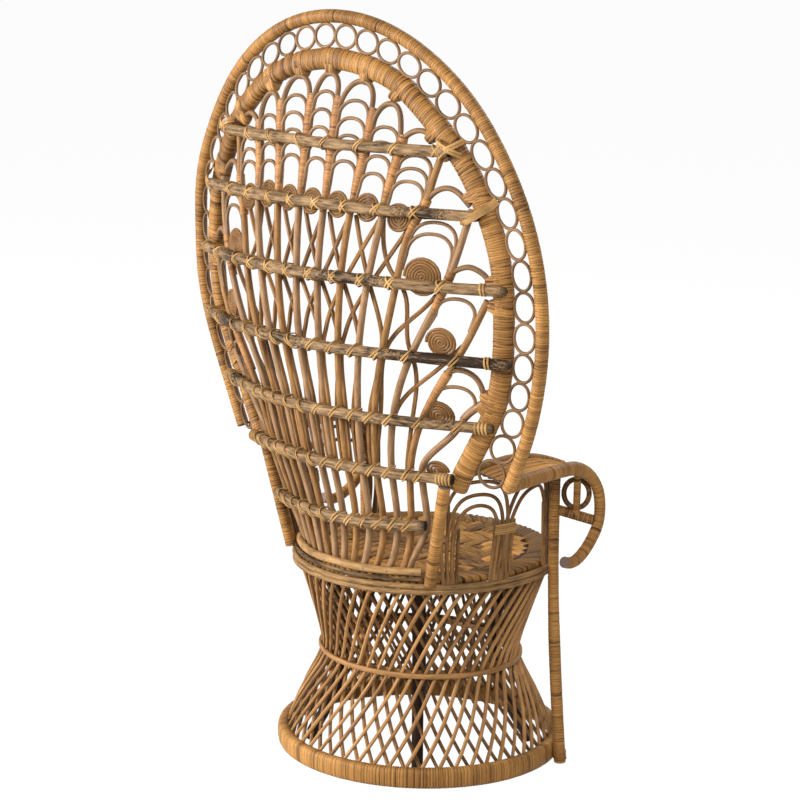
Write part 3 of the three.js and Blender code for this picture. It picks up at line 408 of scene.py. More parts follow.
class Bundle:
    """Strands gathered into one mesh, with a map called strand and a shade called tone on every point."""

    # The four rows of points across a strip, and how strips and canes vary
    ROW_PLACE = np.array([0.05, 0.3, 0.7, 0.95])
    ROW_RISE = np.array([0.0, 1.0, 1.0, 0.0])
    STRIP_WIDTHS, STRIP_RISES, STRIP_SLANT = (0.7, 1.3), (0.55, 1.0), 0.05
    BLOCK_LONG, BLOCK_TONE, STRIP_TONE, ODD_TONE = 70, 0.13, 0.07, 0.25
    CANE_TONES = (0.34, 0.66)
    SHARP = math.radians(50)

    def __init__(self, seed):
        self.rng = np.random.default_rng(seed)
        self.points, self.tones = [], []
        self.faces = {4: [], 3: []}
        self.maps = {4: [], 3: []}
        self.skins = {4: [], 3: []}
        self.count = 0

    def add(self, grid, along, tone, closed=False, skin=0, cut=1):
        """Grid of strand x station x corner: quads between stations, fans over the ends of open strands."""
        strands, stations, corners = grid.shape[:3]
        index = np.arange(strands * stations * corners).reshape(strands, stations, corners) + self.count
        tone = np.broadcast_to(np.reshape(tone, (strands, -1)), (strands, stations))
        here, there = (index, np.roll(index, -1, axis=1)) if closed else (index[:, :-1], index[:, 1:])
        quads = np.stack([here, there, np.roll(there, -1, axis=2), np.roll(here, -1, axis=2)], axis=-1)
        u = np.broadcast_to(along[:, :, None], along.shape + (corners,))
        v = np.broadcast_to(np.arange(corners) / corners, here.shape)
        near, far = u[:, : here.shape[1]], u[:, 1 : here.shape[1] + 1]
        step = 1 / corners
        chart = [(near, v), (far, v), (far, v + step), (near, v + step)]
        self._keep(4, quads, np.stack([np.stack(pair, axis=-1) for pair in chart], axis=-2), skin)
        self.points.append(grid.reshape(-1, 3))
        self.tones.append(np.repeat(tone.ravel(), corners))
        self.count += index.size
        if closed:
            return
        for ring, turn, place in ((index[:, 0], 1, 0), (index[:, -1], -1, -1)):
            middle = self.count + np.arange(strands)
            self.points.append(grid[:, place].mean(axis=1))
            self.tones.append(tone[:, place])
            self.count += strands
            following = np.roll(ring, -1, axis=1)
            first, second = (ring, following) if turn > 0 else (following, ring)
            fans = np.stack([np.broadcast_to(middle[:, None], ring.shape), first, second], axis=-1)
            self._keep(3, fans, np.zeros(fans.shape + (2,)), cut)

    def _keep(self, corners, faces, chart, skin):
        """Stores faces of one corner count with their map and material number."""
        self.faces[corners].append(faces.reshape(-1, corners))
        self.maps[corners].append(chart.reshape(-1, 2))
        self.skins[corners].append(np.full(faces.size // corners, skin))

    def canes(self, paths, face, shape, tone=None, closed=False, skin=0, cut=1):
        """Plain canes: one section carried along each path; the map runs in millimetres along the cane."""
        paths = np.asarray(paths, float)
        paths = paths[None] if paths.ndim == 2 else paths
        if tone is None:
            tone = self.rng.uniform(*self.CANE_TONES, len(paths))
        ends = np.concatenate([paths, paths[:, :1]], axis=1) if closed else paths
        steps = np.linalg.norm(np.diff(ends, axis=1), axis=2)
        along = np.concatenate([np.zeros((len(paths), 1)), np.cumsum(steps, axis=1)], axis=1)
        self.add(sweep(paths, face, shape, closed), along, tone, closed, skin, cut)

    def wind(self, path, face, shape, width, rise, closed=False, lean=0.0, tone=0.5, odd=0.05, skin=0,
             cut=1):
        """Peel wound round a pole: strips follow each other along the path, each with an edge, two crowns
        and an edge, so a groove lies between strips; widths, heights, slant and tone vary from strip to
        strip. The tone is one value, or several spread evenly along the path."""
        run = run_along(path)
        count = max(2, round(run[-1] / width))
        widths = self.rng.uniform(*self.STRIP_WIDTHS, count)
        edges = np.concatenate([[0.0], np.cumsum(widths)]) * run[-1] / widths.sum()
        rows = (edges[:-1, None] + self.ROW_PLACE * np.diff(edges)[:, None]).ravel()
        high = (rise * self.rng.uniform(*self.STRIP_RISES, count)[:, None] * self.ROW_RISE).ravel()
        parts = max(3, round(run[-1] / self.BLOCK_LONG))
        blocks = self.rng.uniform(-self.BLOCK_TONE, self.BLOCK_TONE, parts)
        given = np.linspace(0, 1, np.size(tone))
        blocks = blocks + np.interp(np.linspace(0, 1, len(blocks)), given, np.ravel(tone))
        shade = np.interp(edges[:-1], np.linspace(0, run[-1], len(blocks)), blocks)
        shade = shade + self.rng.normal(0, self.STRIP_TONE, count)
        shade = shade - self.ODD_TONE * (self.rng.random(count) < odd)
        slant = np.repeat(lean + self.rng.normal(0, self.STRIP_SLANT, count), len(self.ROW_PLACE))
        face = np.broadcast_to(face, path.shape)
        centre, front = pick(path, rows), unit(pick_like(face, run, rows))
        shape = np.broadcast_to(shape, (len(path),) + shape.shape[-2:])
        shapes = pick_like(shape, run, rows)
        beside = np.roll(shapes, -1, axis=1) - np.roll(shapes, 1, axis=1)
        outward = unit(np.stack([beside[..., 1], -beside[..., 0]], axis=-1))
        shapes = shapes + high[:, None, None] * outward
        ends = np.concatenate([centre[-1:], centre, centre[:1]]) if closed else centre
        along = unit(np.gradient(ends, axis=0))
        along = along[1:-1] if closed else along
        side = unit(np.cross(along, front))
        up = np.cross(side, along)
        grid = centre[:, None] + shapes[..., :1] * side[:, None] + shapes[..., 1:] * up[:, None]
        grid = grid + (slant[:, None] * shapes[..., 0])[..., None] * along[:, None]
        strip = (np.arange(count)[:, None] + self.ROW_PLACE).ravel()
        strip = np.append(strip, count + self.ROW_PLACE[0]) if closed else strip
        shade = np.repeat(shade, len(self.ROW_PLACE))
        self.add(grid[None], strip[None], shade[None], closed, skin, cut)

    def build(self, name, materials, slot, *nodes):
        """One mesh in metres in the CAD frame; it rides on the chair and stands for the named nodes."""
        points = (np.concatenate(self.points) + [0, SHIFT_Y, 0]) * MM
        mesh = bpy.data.meshes.new(name)
        quads = np.concatenate(self.faces[4])
        fans = np.concatenate(self.faces[3]) if self.faces[3] else np.zeros((0, 3), int)
        corners = np.concatenate([quads.ravel(), fans.ravel()])
        starts = np.concatenate([4 * np.arange(len(quads)), quads.size + 3 * np.arange(len(fans))])
        mesh.vertices.add(len(points))
        mesh.vertices.foreach_set("co", points.astype(np.float32).ravel())
        mesh.loops.add(len(corners))
        mesh.loops.foreach_set("vertex_index", corners.astype(np.int32))
        mesh.polygons.add(len(starts))
        mesh.polygons.foreach_set("loop_start", starts.astype(np.int32))
        skins = np.concatenate(self.skins[4] + self.skins[3])
        mesh.polygons.foreach_set("material_index", skins.astype(np.int32))
        mesh.polygons.foreach_set("use_smooth", np.ones(len(starts), bool))
        mesh.update(calc_edges=True)
        chart = mesh.uv_layers.new(name="strand")
        maps = np.concatenate(self.maps[4] + self.maps[3])
        chart.data.foreach_set("uv", maps.astype(np.float32).ravel())
        shade = mesh.attributes.new("tone", "FLOAT", "POINT")
        shade.data.foreach_set("value", np.concatenate(self.tones).astype(np.float32))
        mesh.set_sharp_from_angle(angle=self.SHARP)
        for material in materials:
            mesh.materials.append(material)
        made = bpy.data.objects.new(name, mesh)
        bpy.context.scene.collection.objects.link(made)
        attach(made, "root")
        if nodes:
            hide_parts(*nodes)


# Finishes: streak shift from strand to strand, fibres to a strip of peel, cloud and fibre sizes in mm
STREAK_SHIFT = 37.0
PEEL_FIBRES, PEEL_TURN, PEEL_CLOUD, PEEL_WEIGHT, PEEL_DEPTH = 3.0, 2.5, 60.0, 0.45, 0.25
SLIT_DARK, SLIT_CLEAR = 0.02, 0.16
FIBRE_LONG, PORE_WIDE, BUMP_STRENGTH = 26.0, 1.2, 0.6
BROWNER = np.array([1.0, 0.8, 0.65])
PALER = np.array([1.0, 1.06, 1.15])
FINISHES = {}


def linear(hex_colour):
    """Linear light from an sRGB hex value."""
    s = np.array([int(hex_colour[k:k + 2], 16) for k in (1, 3, 5)]) / 255
    return tuple(np.where(s <= 0.04045, s / 12.92, ((s + 0.055) / 1.055) ** 2.4))


def wire(tree, kind, inputs=None, stops=(), **settings):
    """Adds one node: settings are its properties, inputs values or other nodes' outputs, stops a ramp."""
    made = tree.nodes.new(kind)
    for name, value in settings.items():
        setattr(made, name, value)
    for name, value in (inputs or {}).items():
        if isinstance(value, bpy.types.NodeSocket):
            tree.links.new(value, made.inputs[name])
        else:
            made.inputs[name].default_value = value
    for number, (place, colour) in enumerate(stops):
        if number >= len(made.color_ramp.elements):
            made.color_ramp.elements.new(place)
        made.color_ramp.elements[number].position = place
        made.color_ramp.elements[number].color = (*colour, 1.0)
    return made


def start(name, roughness, specular=0.18):
    """New material with its shader, its output and the strand map split into run and turn."""
    material = bpy.data.materials.new(name)
    material.use_nodes = True
    tree = material.node_tree
    tree.nodes.clear()
    shader = wire(tree, "ShaderNodeBsdfPrincipled",
                  {"Roughness": roughness, "Specular IOR Level": specular})
    wire(tree, "ShaderNodeOutputMaterial", {"Surface": shader.outputs[0]})
    chart = wire(tree, "ShaderNodeUVMap", uv_map="strand")
    split = wire(tree, "ShaderNodeSeparateXYZ", {0: chart.outputs[0]})
    tone = wire(tree, "ShaderNodeAttribute", attribute_name="tone").outputs["Fac"]
    return material, tree, shader, split.outputs[0], split.outputs[1], tone


def streaks(tree, run, turn, tone, run_scale, turn_scale, detail):
    """Streak pattern on the strand map, long along the fibre and shifted by each strand's own tone."""
    u = wire(tree, "ShaderNodeMath", {0: run, 1: run_scale}, operation="MULTIPLY")
    v = wire(tree, "ShaderNodeMath", {0: turn, 1: turn_scale}, operation="MULTIPLY")
    w = wire(tree, "ShaderNodeMath", {0: tone, 1: STREAK_SHIFT}, operation="MULTIPLY")
    place = wire(tree, "ShaderNodeCombineXYZ", {0: u.outputs[0], 1: v.outputs[0], 2: w.outputs[0]})
    noise = wire(tree, "ShaderNodeTexNoise", {"Vector": place.outputs[0], "Scale": 1.0, "Detail": detail})
    return noise.outputs["Fac"]


def patches(tree, size_mm, detail=2.0):
    """Cloudy pattern on Object coordinates, with blotches of about the given size."""
    where = wire(tree, "ShaderNodeTexCoord")
    noise = wire(tree, "ShaderNodeTexNoise",
                 {"Vector": where.outputs["Object"], "Scale": 1 / (size_mm * MM), "Detail": detail})
    return noise.outputs["Fac"]


def blend_tone(tree, tone, parts):
    """Tone plus each pattern's distance from its middle, times its weight."""
    total = tone
    for pattern, weight in parts:
        shift = wire(tree, "ShaderNodeMath", {0: pattern, 1: weight, 2: -0.5 * weight},
                     operation="MULTIPLY_ADD")
        total = wire(tree, "ShaderNodeMath", {0: total, 1: shift.outputs[0]}, operation="ADD").outputs[0]
    return total


def raise_bump(tree, shader, height, depth_mm):
    """Bump of the given depth from a height pattern."""
    bump = wire(tree, "ShaderNodeBump",
                {"Height": height, "Strength": BUMP_STRENGTH, "Distance": depth_mm * MM})
    tree.links.new(bump.outputs[0], shader.inputs["Normal"])


def wound_peel(name, stops, roughness, slit):
    """Split peel or straw wound on a pole: satin strips, one tone each, with dark slits between them."""
    material, tree, shader, run, turn, tone = start(name, roughness)
    fibre = streaks(tree, run, turn, tone, PEEL_FIBRES, PEEL_TURN, detail=3.0)
    cloud = patches(tree, PEEL_CLOUD)
    shade = blend_tone(tree, tone, [(fibre, PEEL_WEIGHT), (cloud, PEEL_WEIGHT)])
    edge = wire(tree, "ShaderNodeMath", {0: run, 1: 0.5}, operation="PINGPONG")
    groove = wire(tree, "ShaderNodeMapRange",
                  {0: edge.outputs[0], 1: SLIT_DARK, 2: SLIT_CLEAR, 3: slit, 4: 0.0})
    shade = wire(tree, "ShaderNodeMath", {0: shade, 1: groove.outputs[0]}, operation="SUBTRACT")
    ramp = wire(tree, "ShaderNodeValToRGB", {0: shade.outputs[0]}, stops=stops)
    tree.links.new(ramp.outputs[0], shader.inputs["Base Color"])
    raise_bump(tree, shader, fibre, PEEL_DEPTH)
    return material


def cane_skin(name, stops, roughness, fine, streak_weight, cloud_mm, cloud_weight, depth_mm):
    """Round cane with its skin on: so many streaks to a turn along the fibre, blotches, one tone a cane."""
    material, tree, shader, run, turn, tone = start(name, roughness)
    fibre = streaks(tree, run, turn, tone, 1 / FIBRE_LONG, fine, detail=4.0)
    cloud = patches(tree, cloud_mm)
    shade = blend_tone(tree, tone, [(fibre, streak_weight), (cloud, cloud_weight)])
    ramp = wire(tree, "ShaderNodeValToRGB", {0: shade}, stops=stops)
    tree.links.new(ramp.outputs[0], shader.inputs["Base Color"])
    raise_bump(tree, shader, fibre, depth_mm)
    return material


def cut_grain(name, stops, roughness):
    """Sawn end of rattan: grey brown and matt, freckled with the dark mouths of its vessels."""
    material, tree, shader, _, _, _ = start(name, roughness)
    pore = patches(tree, PORE_WIDE, detail=3.0)
    ramp = wire(tree, "ShaderNodeValToRGB", {0: pore}, stops=stops)
    tree.links.new(ramp.outputs[0], shader.inputs["Base Color"])
    return material


def shades(colour, dark, light):
    """Ramp with a colour in the middle, browner and darker to one end, paler and greyer to the other."""
    middle = np.array(colour)
    return [(0.0, middle * dark * BROWNER), (0.5, middle), (1.0, middle * light * PALER)]


def finish(kind):
    """Finish by its short name, made on its first use from the colours of the scene."""
    hues = bpy.context.scene.chair_colours
    makers = {
        # Split rattan skin wound tight: a satin yellow brown with a thin dark slit beside each strip
        "peel": lambda: wound_peel(
            "wound rattan peel", shades(hues.peel, 0.2, 1.85), roughness=0.5, slit=0.36),
        # The same skin split finer: redder and more even, with softer slits
        "wrap": lambda: wound_peel(
            "fine reddish peel", shades(hues.wrap, 0.24, 1.75), roughness=0.5, slit=0.32),
        # Twisted straw wound coarsely: dull, with deep slits and strong light and dark; its colour is partly
        # its own and partly painted shade of the rim's side
        "straw_wound": lambda: wound_peel(
            "wound straw", shades(hues.rim, 0.12, 2.0), roughness=0.65, slit=0.5),
        # Thin cane with its skin: satin brown with long fine streaks
        "cane": lambda: cane_skin(
            "brown cane", shades(hues.cane, 0.16, 1.85), roughness=0.55, fine=8.0, streak_weight=0.9,
            cloud_mm=90.0, cloud_weight=0.4, depth_mm=0.25),
        # Cane gone grey in the light: the same streaks in a duller, cooler brown
        "grey": lambda: cane_skin(
            "weathered cane", shades(hues.grey, 0.14, 1.9), roughness=0.55, fine=8.0, streak_weight=0.9,
            cloud_mm=70.0, cloud_weight=0.4, depth_mm=0.25),
        # Pole with its bark: grey brown, strongly streaked and blotched, a little rough
        "bark": lambda: cane_skin(
            "unpeeled bark pole", shades(hues.bark, 0.08, 1.9), roughness=0.6, fine=15.0, streak_weight=1.9,
            cloud_mm=45.0, cloud_weight=0.6, depth_mm=0.5),
        # Pole stripped of its bark: pale and smooth with brown streaks
        "pale": lambda: cane_skin(
            "peeled pole", shades(hues.pole, 0.12, 1.85), roughness=0.55, fine=9.0, streak_weight=1.2,
            cloud_mm=60.0, cloud_weight=0.5, depth_mm=0.3),
        # Straw laid flat: golden and dull, with many fine dark lines
        "straw": lambda: cane_skin(
            "straw splint", shades(hues.straw, 0.12, 2.0), roughness=0.65, fine=14.0, streak_weight=1.3,
            cloud_mm=80.0, cloud_weight=0.4, depth_mm=0.35),
        # Pole stained nearly black: matt, with hardly any grain
        "dark": lambda: cane_skin(
            "dark pole", shades(hues.dark, 0.3, 2.2), roughness=0.7, fine=7.0, streak_weight=0.7,
            cloud_mm=70.0, cloud_weight=0.5, depth_mm=0.3),
        # Flat strip of peel in a tie: paler than the canes it binds, with a satin light along it
        "lash": lambda: cane_skin(
            "split peel lashing", shades(hues.lash, 0.3, 1.7), roughness=0.5, fine=5.0, streak_weight=0.5,
            cloud_mm=50.0, cloud_weight=0.4, depth_mm=0.2),
        # Sawn end: matt grey brown with dark pores
        "cut": lambda: cut_grain("cut end grain", shades(hues.cut, 0.3, 2.0), roughness=0.8),
    }
    if kind not in FINISHES:
        FINISHES[kind] = makers[kind]()
    return FINISHES[kind]


# Base

def base_hoop(sizes):
    """Pole bent to an ellipse, with a softened box section, wound with upright strips of peel."""
    width, rise = sizes.strip_width / MM, sizes.strip_rise / MM
    shape = section(BASE_THICK - 2 * rise, BASE_TALL - 2 * rise, 16, BASE_SQUARE)
    turn = np.linspace(0, 2 * np.pi, 361)
    path = oval(BASE_WIDE - BASE_THICK / 2, BASE_DEEP - BASE_THICK / 2, 0.0, turn, BASE_TALL / 2)
    hoop = Bundle(1)
    hoop.wind(path, UP, shape, width * BASE_STRIP, rise * PEEL_BULGE, closed=True)
    hoop.build("wound_base_hoop", [finish("peel"), finish("cut")], "wrapped_peel", "base_hoop")


def soft_fold(t, bow):
    """Way from the waist to an end, 0 to 1: a hyperbola, so the rod bends softly, plus a half sine."""
    soft = math.sqrt(FOLD_SOFT)
    even = (np.sqrt(t * t + FOLD_SOFT) - soft) / (math.sqrt(1 + FOLD_SOFT) - soft)
    return even + bow * np.sin(np.pi * np.abs(t))


def lattice(label, inset, lean, ring_wide, radius, tones, seed):
    """Rods leaning one way: width and depth run from foot to waist to head by the soft fold, the angle
    turns evenly, and a flat cane rings the waist."""
    low = BASE_WIDE - ROD_SEAT - FOOT_SHARE * inset
    mid = WAIST_WIDE - WAIST_CANE - radius + ROD_FUSE - inset
    high = SEAT_WIDE - 2 * POLE_RADIUS + ROD_HEAD - radius - GAP - inset
    rods = Bundle(seed)
    z = np.linspace(ROD_LOW, ROD_HIGH, 15)
    below = z < WAIST_Z
    part = np.where(below, (z - WAIST_Z) / (WAIST_Z - ROD_LOW), (z - WAIST_Z) / (ROD_HIGH - WAIST_Z))
    fold = soft_fold(part, np.where(below, LOWER_BOW, 0.0))
    ends = np.where(below, low, high)
    wide = mid + (ends - mid) * fold
    deep_mid = mid - WAIST_WIDE + WAIST_DEEP
    deep_ends = np.where(below, low - BASE_WIDE + BASE_DEEP, high - SEAT_WIDE + SEAT_DEEP)
    deep = deep_mid + (deep_ends - deep_mid) * fold
    shift = WAIST_SHIFT + (np.where(below, 0.0, SEAT_SHIFT) - WAIST_SHIFT) * fold
    turned = lean * np.where(below, LOWER_TWIST * (1 + part), LOWER_TWIST + UPPER_TWIST * part)
    begin = 2 * np.pi * np.arange(RODS) / RODS + rods.rng.normal(0, ROD_STRAY, RODS)
    angle = begin[:, None] + turned
    paths = oval(wide, deep, shift, angle, np.broadcast_to(z, angle.shape))
    thick = rods.rng.uniform(*ROD_SPREAD, RODS)[:, None, None, None]
    outward = paths * [1, 1, 0]
    shape = section(2 * radius, 2 * radius, 7) * thick
    rods.canes(paths, outward, shape, tone=rods.rng.uniform(*tones, RODS))
    turn = np.linspace(0, 2 * np.pi, 97)[:-1]
    ring = oval(ring_wide, ring_wide - WAIST_WIDE + WAIST_DEEP, WAIST_SHIFT, turn, WAIST_Z)
    rods.canes(ring, UP, section(*WAIST_SECTION, 8, WAIST_SQUARE), tone=np.array([WAIST_TONE]),
               closed=True)
    rods.build(f"lattice_rods_{label}", [finish("cane"), finish("cut")], "brown_cane",
               *[f"lattice_{label}_{k}" for k in range(1, 5)])


def inner_frame():
    """Four dark legs, each a quadratic curve bent in at the waist with its foot upright, and two straight
    braces across their tops."""
    frame_poles = Bundle(4)
    t = np.linspace(0, 1, 24)[:, None]
    angles = [math.radians(45 + 90 * k) for k in range(4)]
    corners = [np.array([math.cos(angle), math.sin(angle), 0.0]) for angle in angles]
    for k, out in enumerate(corners):
        top = BRACE_LEVELS[k % 2] - LEG_RADIUS
        ends = [out * LEG_FOOT, out * LEG_BEND + UP * WAIST_Z, out * LEG_TOP + UP * top]
        path = (1 - t) ** 2 * ends[0] + 2 * t * (1 - t) * ends[1] + t**2 * ends[2]
        path[0] = path[1] * [1, 1, 0]
        frame_poles.canes(path, out, section(2 * LEG_RADIUS, 2 * LEG_RADIUS, 12))
    for out, level in zip(corners, BRACE_LEVELS):
        path = np.linspace(-out * BRACE_REACH, out * BRACE_REACH, 30) + UP * level
        frame_poles.canes(path, UP, section(2 * LEG_RADIUS, 2 * LEG_RADIUS, 14))
    frame_poles.build("inner_frame", [finish("dark"), finish("cut")], "dark_pole",
                      *[f"inner_leg_{k}" for k in range(1, 5)], "cross_brace_1", "cross_brace_2")


# Seat

def seat_hoops():
    """Two stacked closed poles that wander a little in slow sines, an open arc above the rim with a cane
    painted dark in the groove under it as painted shade, and small nail heads."""
    lower = Bundle(5)
    turn = np.linspace(0, 2 * np.pi, 161)[:-1]
    for level, phase in zip(POLE_LEVELS, POLE_PHASES):
        reach = POLE_REACH + POLE_WANDER * np.sin(7 * turn + phase) - POLE_INSET
        height = level + POLE_SAG * np.sin(5 * turn + 2 * phase)
        path = oval(reach, reach * SEAT_RATIO, SEAT_SHIFT, turn, height)
        lower.canes(path, UP, section(*POLE_SECTION, 12), tone=np.array([POLE_TONE]), closed=True)
    nails(lower, LOWER_NAILS, POLE_REACH + POLE_RADIUS - NAIL_SINK, POLE_LEVELS[1] + POLE_SAG)
    lower.build("seat_poles_lower", [finish("pale"), finish("cut")], "pale_pole", "seat_hoop_lower")
    upper = Bundle(6)
    turn = np.linspace(*UPPER_ENDS, 90)
    height = UPPER_Z + UPPER_SAG * np.sin(9 * turn)
    path = oval(UPPER_REACH, UPPER_REACH * SEAT_RATIO, SEAT_SHIFT, turn, height)
    upper.canes(path, UP, section(2 * UPPER_RADIUS, 2 * UPPER_RADIUS, 14), tone=np.array([UPPER_TONE]))
    nails(upper, UPPER_NAILS, UPPER_REACH + UPPER_RADIUS - NAIL_SINK, UPPER_Z)
    # Cane in the groove, dark as painted shade
    height = GROOVE_Z + GROOVE_SAG * np.sin(6 * turn)
    path = oval(GROOVE_REACH, GROOVE_REACH * SEAT_RATIO, SEAT_SHIFT, turn, height)
    upper.canes(path, UP, section(*GROOVE_SECTION, 8), tone=np.array([GROOVE_SHADE_TONE]))
    upper.build("seat_pole_upper", [finish("pale"), finish("cut")], "pale_pole", "seat_hoop_upper")


def nails(bundle, angles, reach, height):
    """Low round heads standing out of a level hoop: a short run outwards whose section closes to a dome."""
    spot = oval(reach, reach * SEAT_RATIO, SEAT_SHIFT, angles, height)
    run = np.array(NAIL_RUN)[:, None]
    paths = spot[:, None] + run * from_seat(spot)[:, None]
    shape = section(NAIL_WIDE, NAIL_WIDE, 6) * np.array(NAIL_DOME)[:, None, None]
    bundle.canes(paths, UP, shape, skin=1)


def seat_rim():
    """Straw rim: a flat ring wound slantwise with coarse strips."""
    rim = Bundle(7)
    turn = np.linspace(0, 2 * np.pi, 361)
    reach = 0.5 * (RIM_OUTER + RIM_INNER)
    level = 0.5 * (RIM_LOW + SEAT_TOP)
    wide, tall = RIM_OUTER - RIM_INNER - RIM_ROOM_WIDE, SEAT_TOP - RIM_LOW - RIM_ROOM_TALL
    shape = section(wide, tall, 18, RIM_SQUARE)
    path = oval(reach, reach * SEAT_RATIO, SEAT_SHIFT, turn, level)
    rim.wind(path, UP, shape, RIM_STRIP, RIM_RISE, closed=True, lean=RIM_LEAN, odd=RIM_ODD)
    rim.build("straw_rim", [finish("straw_wound"), finish("cut")], "straw_weave", "seat_rim")


def seat_weave(pitch):
    """Panel of straw bundles: two sets of strands cross in a herringbone, each passing over three and under
    three, with the step reversed every few strands."""
    panel = Bundle(8)
    strands = int(2 * PANEL_REACH / pitch)
    number = np.arange(strands)
    offset = (number - 0.5 * (strands - 1)) * pitch
    shape = section(pitch * WEAVE_PACK, WEAVE_THICK, 10, WEAVE_SQUARE)
    zigzag = np.abs((number + WEAVE_TURN) % (2 * WEAVE_TURN) - WEAVE_TURN)
    over = np.where((zigzag[:, None] + number[None, :]) % (2 * WEAVE_FLOAT) < WEAVE_FLOAT, 1.0, -1.0)
    t = np.linspace(-1, 1, 110)
    for axis, lift in ((0, over), (1, -over.T)):
        wide = PANEL_REACH if axis == 0 else PANEL_REACH * SEAT_RATIO
        long = PANEL_REACH * SEAT_RATIO if axis == 0 else PANEL_REACH
        inside = np.abs(offset) < wide - PANEL_MARGIN
        span = long * np.sqrt(1 - (offset[inside] / wide) ** 2)
        run = span[:, None] * t
        place = np.clip(run / pitch + 0.5 * (strands - 1), 0, strands - 1)
        height = np.stack([np.interp(row, number, wave) for row, wave in zip(place, lift[inside])])
        across = np.broadcast_to(offset[inside][:, None], run.shape)
        x, y = (across, run) if axis == 0 else (run, across)
        z = PANEL_TOP - WEAVE_THICK / 2 - WEAVE_RISE + WEAVE_RISE * height
        paths = np.stack([x, y + SEAT_SHIFT, z], axis=-1)
        panel.canes(paths, UP, shape, tone=panel.rng.uniform(*WEAVE_TONES, inside.sum()))
    panel.build("straw_panel", [finish("straw"), finish("cut")], "straw_weave", "seat_panel")


# Back frame

def outer_hoop(sizes):
    """Bent pole on the edge of the back, wound along its whole length, with dark sawn ends."""
    path = both_halves(HOOP, 480)
    hoop = Bundle(9)
    width, rise = sizes.strip_width / MM, sizes.strip_rise / MM
    face = shell_normal(path[:, 0], path[:, 2])
    shape = section(2 * HOOP_POLE - 2 * rise, 2 * HOOP_POLE - 2 * rise, 16)
    hoop.wind(path, face, shape, width, rise * PEEL_BULGE, tone=HOOP_TONES)
    hoop.build("wound_outer_hoop", [finish("peel"), finish("dark")], "wrapped_peel", "outer_hoop")


def inner_band(sizes):
    """Oval bundle bent inside the hoop and wound with peel; tabs of strips are drawn inwards over the cane
    tips, less by the fourth power of the way from the middle of the tab."""
    flat = both_halves(np.concatenate([BAND, [BAND_TAIL]]), 480)
    path = on_shell(flat[:, 0], flat[:, 1], np.full(len(flat), BUNDLE_LIFT))
    face = shell_normal(flat[:, 0], flat[:, 1])
    run = run_along(path)
    band = Bundle(10)
    width, rise = sizes.strip_width / MM, sizes.strip_rise / MM
    shape = section(BAND_WIDE - 2 * rise, BUNDLE_THICK - 2 * rise, 20, BAND_SQUARE)
    band.wind(path, face, shape, width, rise * PEEL_BULGE, tone=BAND_TONES)
    branch_tips = [branch[-1] for branch in BRANCHES.values()]
    stake_tips = [stake[-1] for stake in STAKES[len(CROWNS):]]
    tips = [*CROWNS.values(), *branch_tips, *stake_tips]
    across = np.linspace(-1, 1, 11)
    cover = section(BAND_WIDE + TAB_OVER, BUNDLE_THICK + TAB_OVER, 20, BAND_SQUARE)
    pull = np.stack([np.full(len(cover), -TAB_REACH), -TAB_PINCH * cover[:, 1]], axis=1)
    inner = (cover[:, :1] < 0) * pull
    for tip in tips:
        for side in ((1,) if tip[0] == 0 else (1, -1)):
            near = np.argmin(np.hypot(flat[:, 0] - side * tip[0], flat[:, 1] - tip[1]))
            place = np.clip(run[near] + TAB_HALF * across, 0, run[-1])
            drawn = (1 - np.abs(across) ** 4)[:, None, None] * band.rng.uniform(*TAB_DRAW)
            band.wind(pick(path, place), pick_like(face, run, place), cover + drawn * inner, width,
                      rise * PEEL_BULGE, lean=band.rng.normal(0, TAB_STRAY), tone=TAB_TONE)
    band.build("wound_inner_band", [finish("peel"), finish("cut")], "wrapped_peel", "inner_band")


def ring_chain(radius):
    """Oval loops between hoop and band: centred in the room between them, a little longer than the step to
    the next ring, so that neighbours lap, and as wide as that room, tucked under both."""
    slots = 2 * RINGS + 1
    hoop, band = both_halves(HOOP, slots), band_path(slots)[1]
    across = unit(band - hoop)
    room = np.linalg.norm(band - hoop, axis=1) - HOOP_RADIUS - BAND_WIDE / 2
    middle = hoop + across * (HOOP_RADIUS + room / 2 - RING_SHIFT)[:, None]
    odd = np.arange(1, slots - 1, 2)
    centre = middle[odd]
    step = middle[odd + 1] - middle[odd - 1]
    half = np.linalg.norm(step, axis=1) / 2 + RING_LAP
    along = unit(step)
    straight = hoop[odd] - band[odd]
    out = unit(straight - np.sum(straight * along, axis=1, keepdims=True) * along)
    to_hoop = np.linalg.norm(centre[:, None] - both_halves(HOOP, 900), axis=2).min(axis=1) - HOOP_RADIUS
    to_band = np.linalg.norm(centre[:, None] - band_path(900)[1], axis=2).min(axis=1) - BAND_WIDE / 2
    reach = (to_hoop + to_band) / 2 - radius + RING_TUCK
    centre = centre + out * ((to_hoop - to_band) / 2)[:, None]
    turn = np.linspace(0, 2 * np.pi, 37)[:-1]
    paths = centre[:, None] + along[:, None] * ((half - radius)[:, None] * np.cos(turn))[..., None]
    paths = paths + out[:, None] * (reach[:, None] * np.sin(turn))[..., None]
    rings = Bundle(11)
    rings.canes(paths, np.cross(along, out)[:, None], section(2 * radius, 2 * radius, 8), closed=True,
                tone=rings.rng.uniform(*RING_TONES, len(paths)))
    rings.build("cane_ring_chain", [finish("grey"), finish("cut")], "brown_cane", "ring_chain")


def bar_axis(number, x):
    """Axis of a bar: level but for a slight slope, lifted by stake, bar and room, and by the fourth power
    of its reach so that its ends ride over the band; the lowest bar slopes more and bows up to its ends."""
    half, height, room = BARS[number]
    reach = x / half
    last = number == len(BARS) - 1
    rise = 0.0 if last else BAND_THICK / 2 - STAKE_RADIUS + 3 * GAP
    slope, bow = (LAST_SLOPE, LAST_BOW) if last else (BAR_SLOPE, 0.0)
    return height - slope * x + bow * reach**2, STAKE_RADIUS + BAR_RADIUS + room + rise * reach**4


def bar_end(number, side):
    """Sideways place of a bar's end on one side."""
    return side * BARS[number][0] * BAR_SHORT.get((number, side), 1.0)


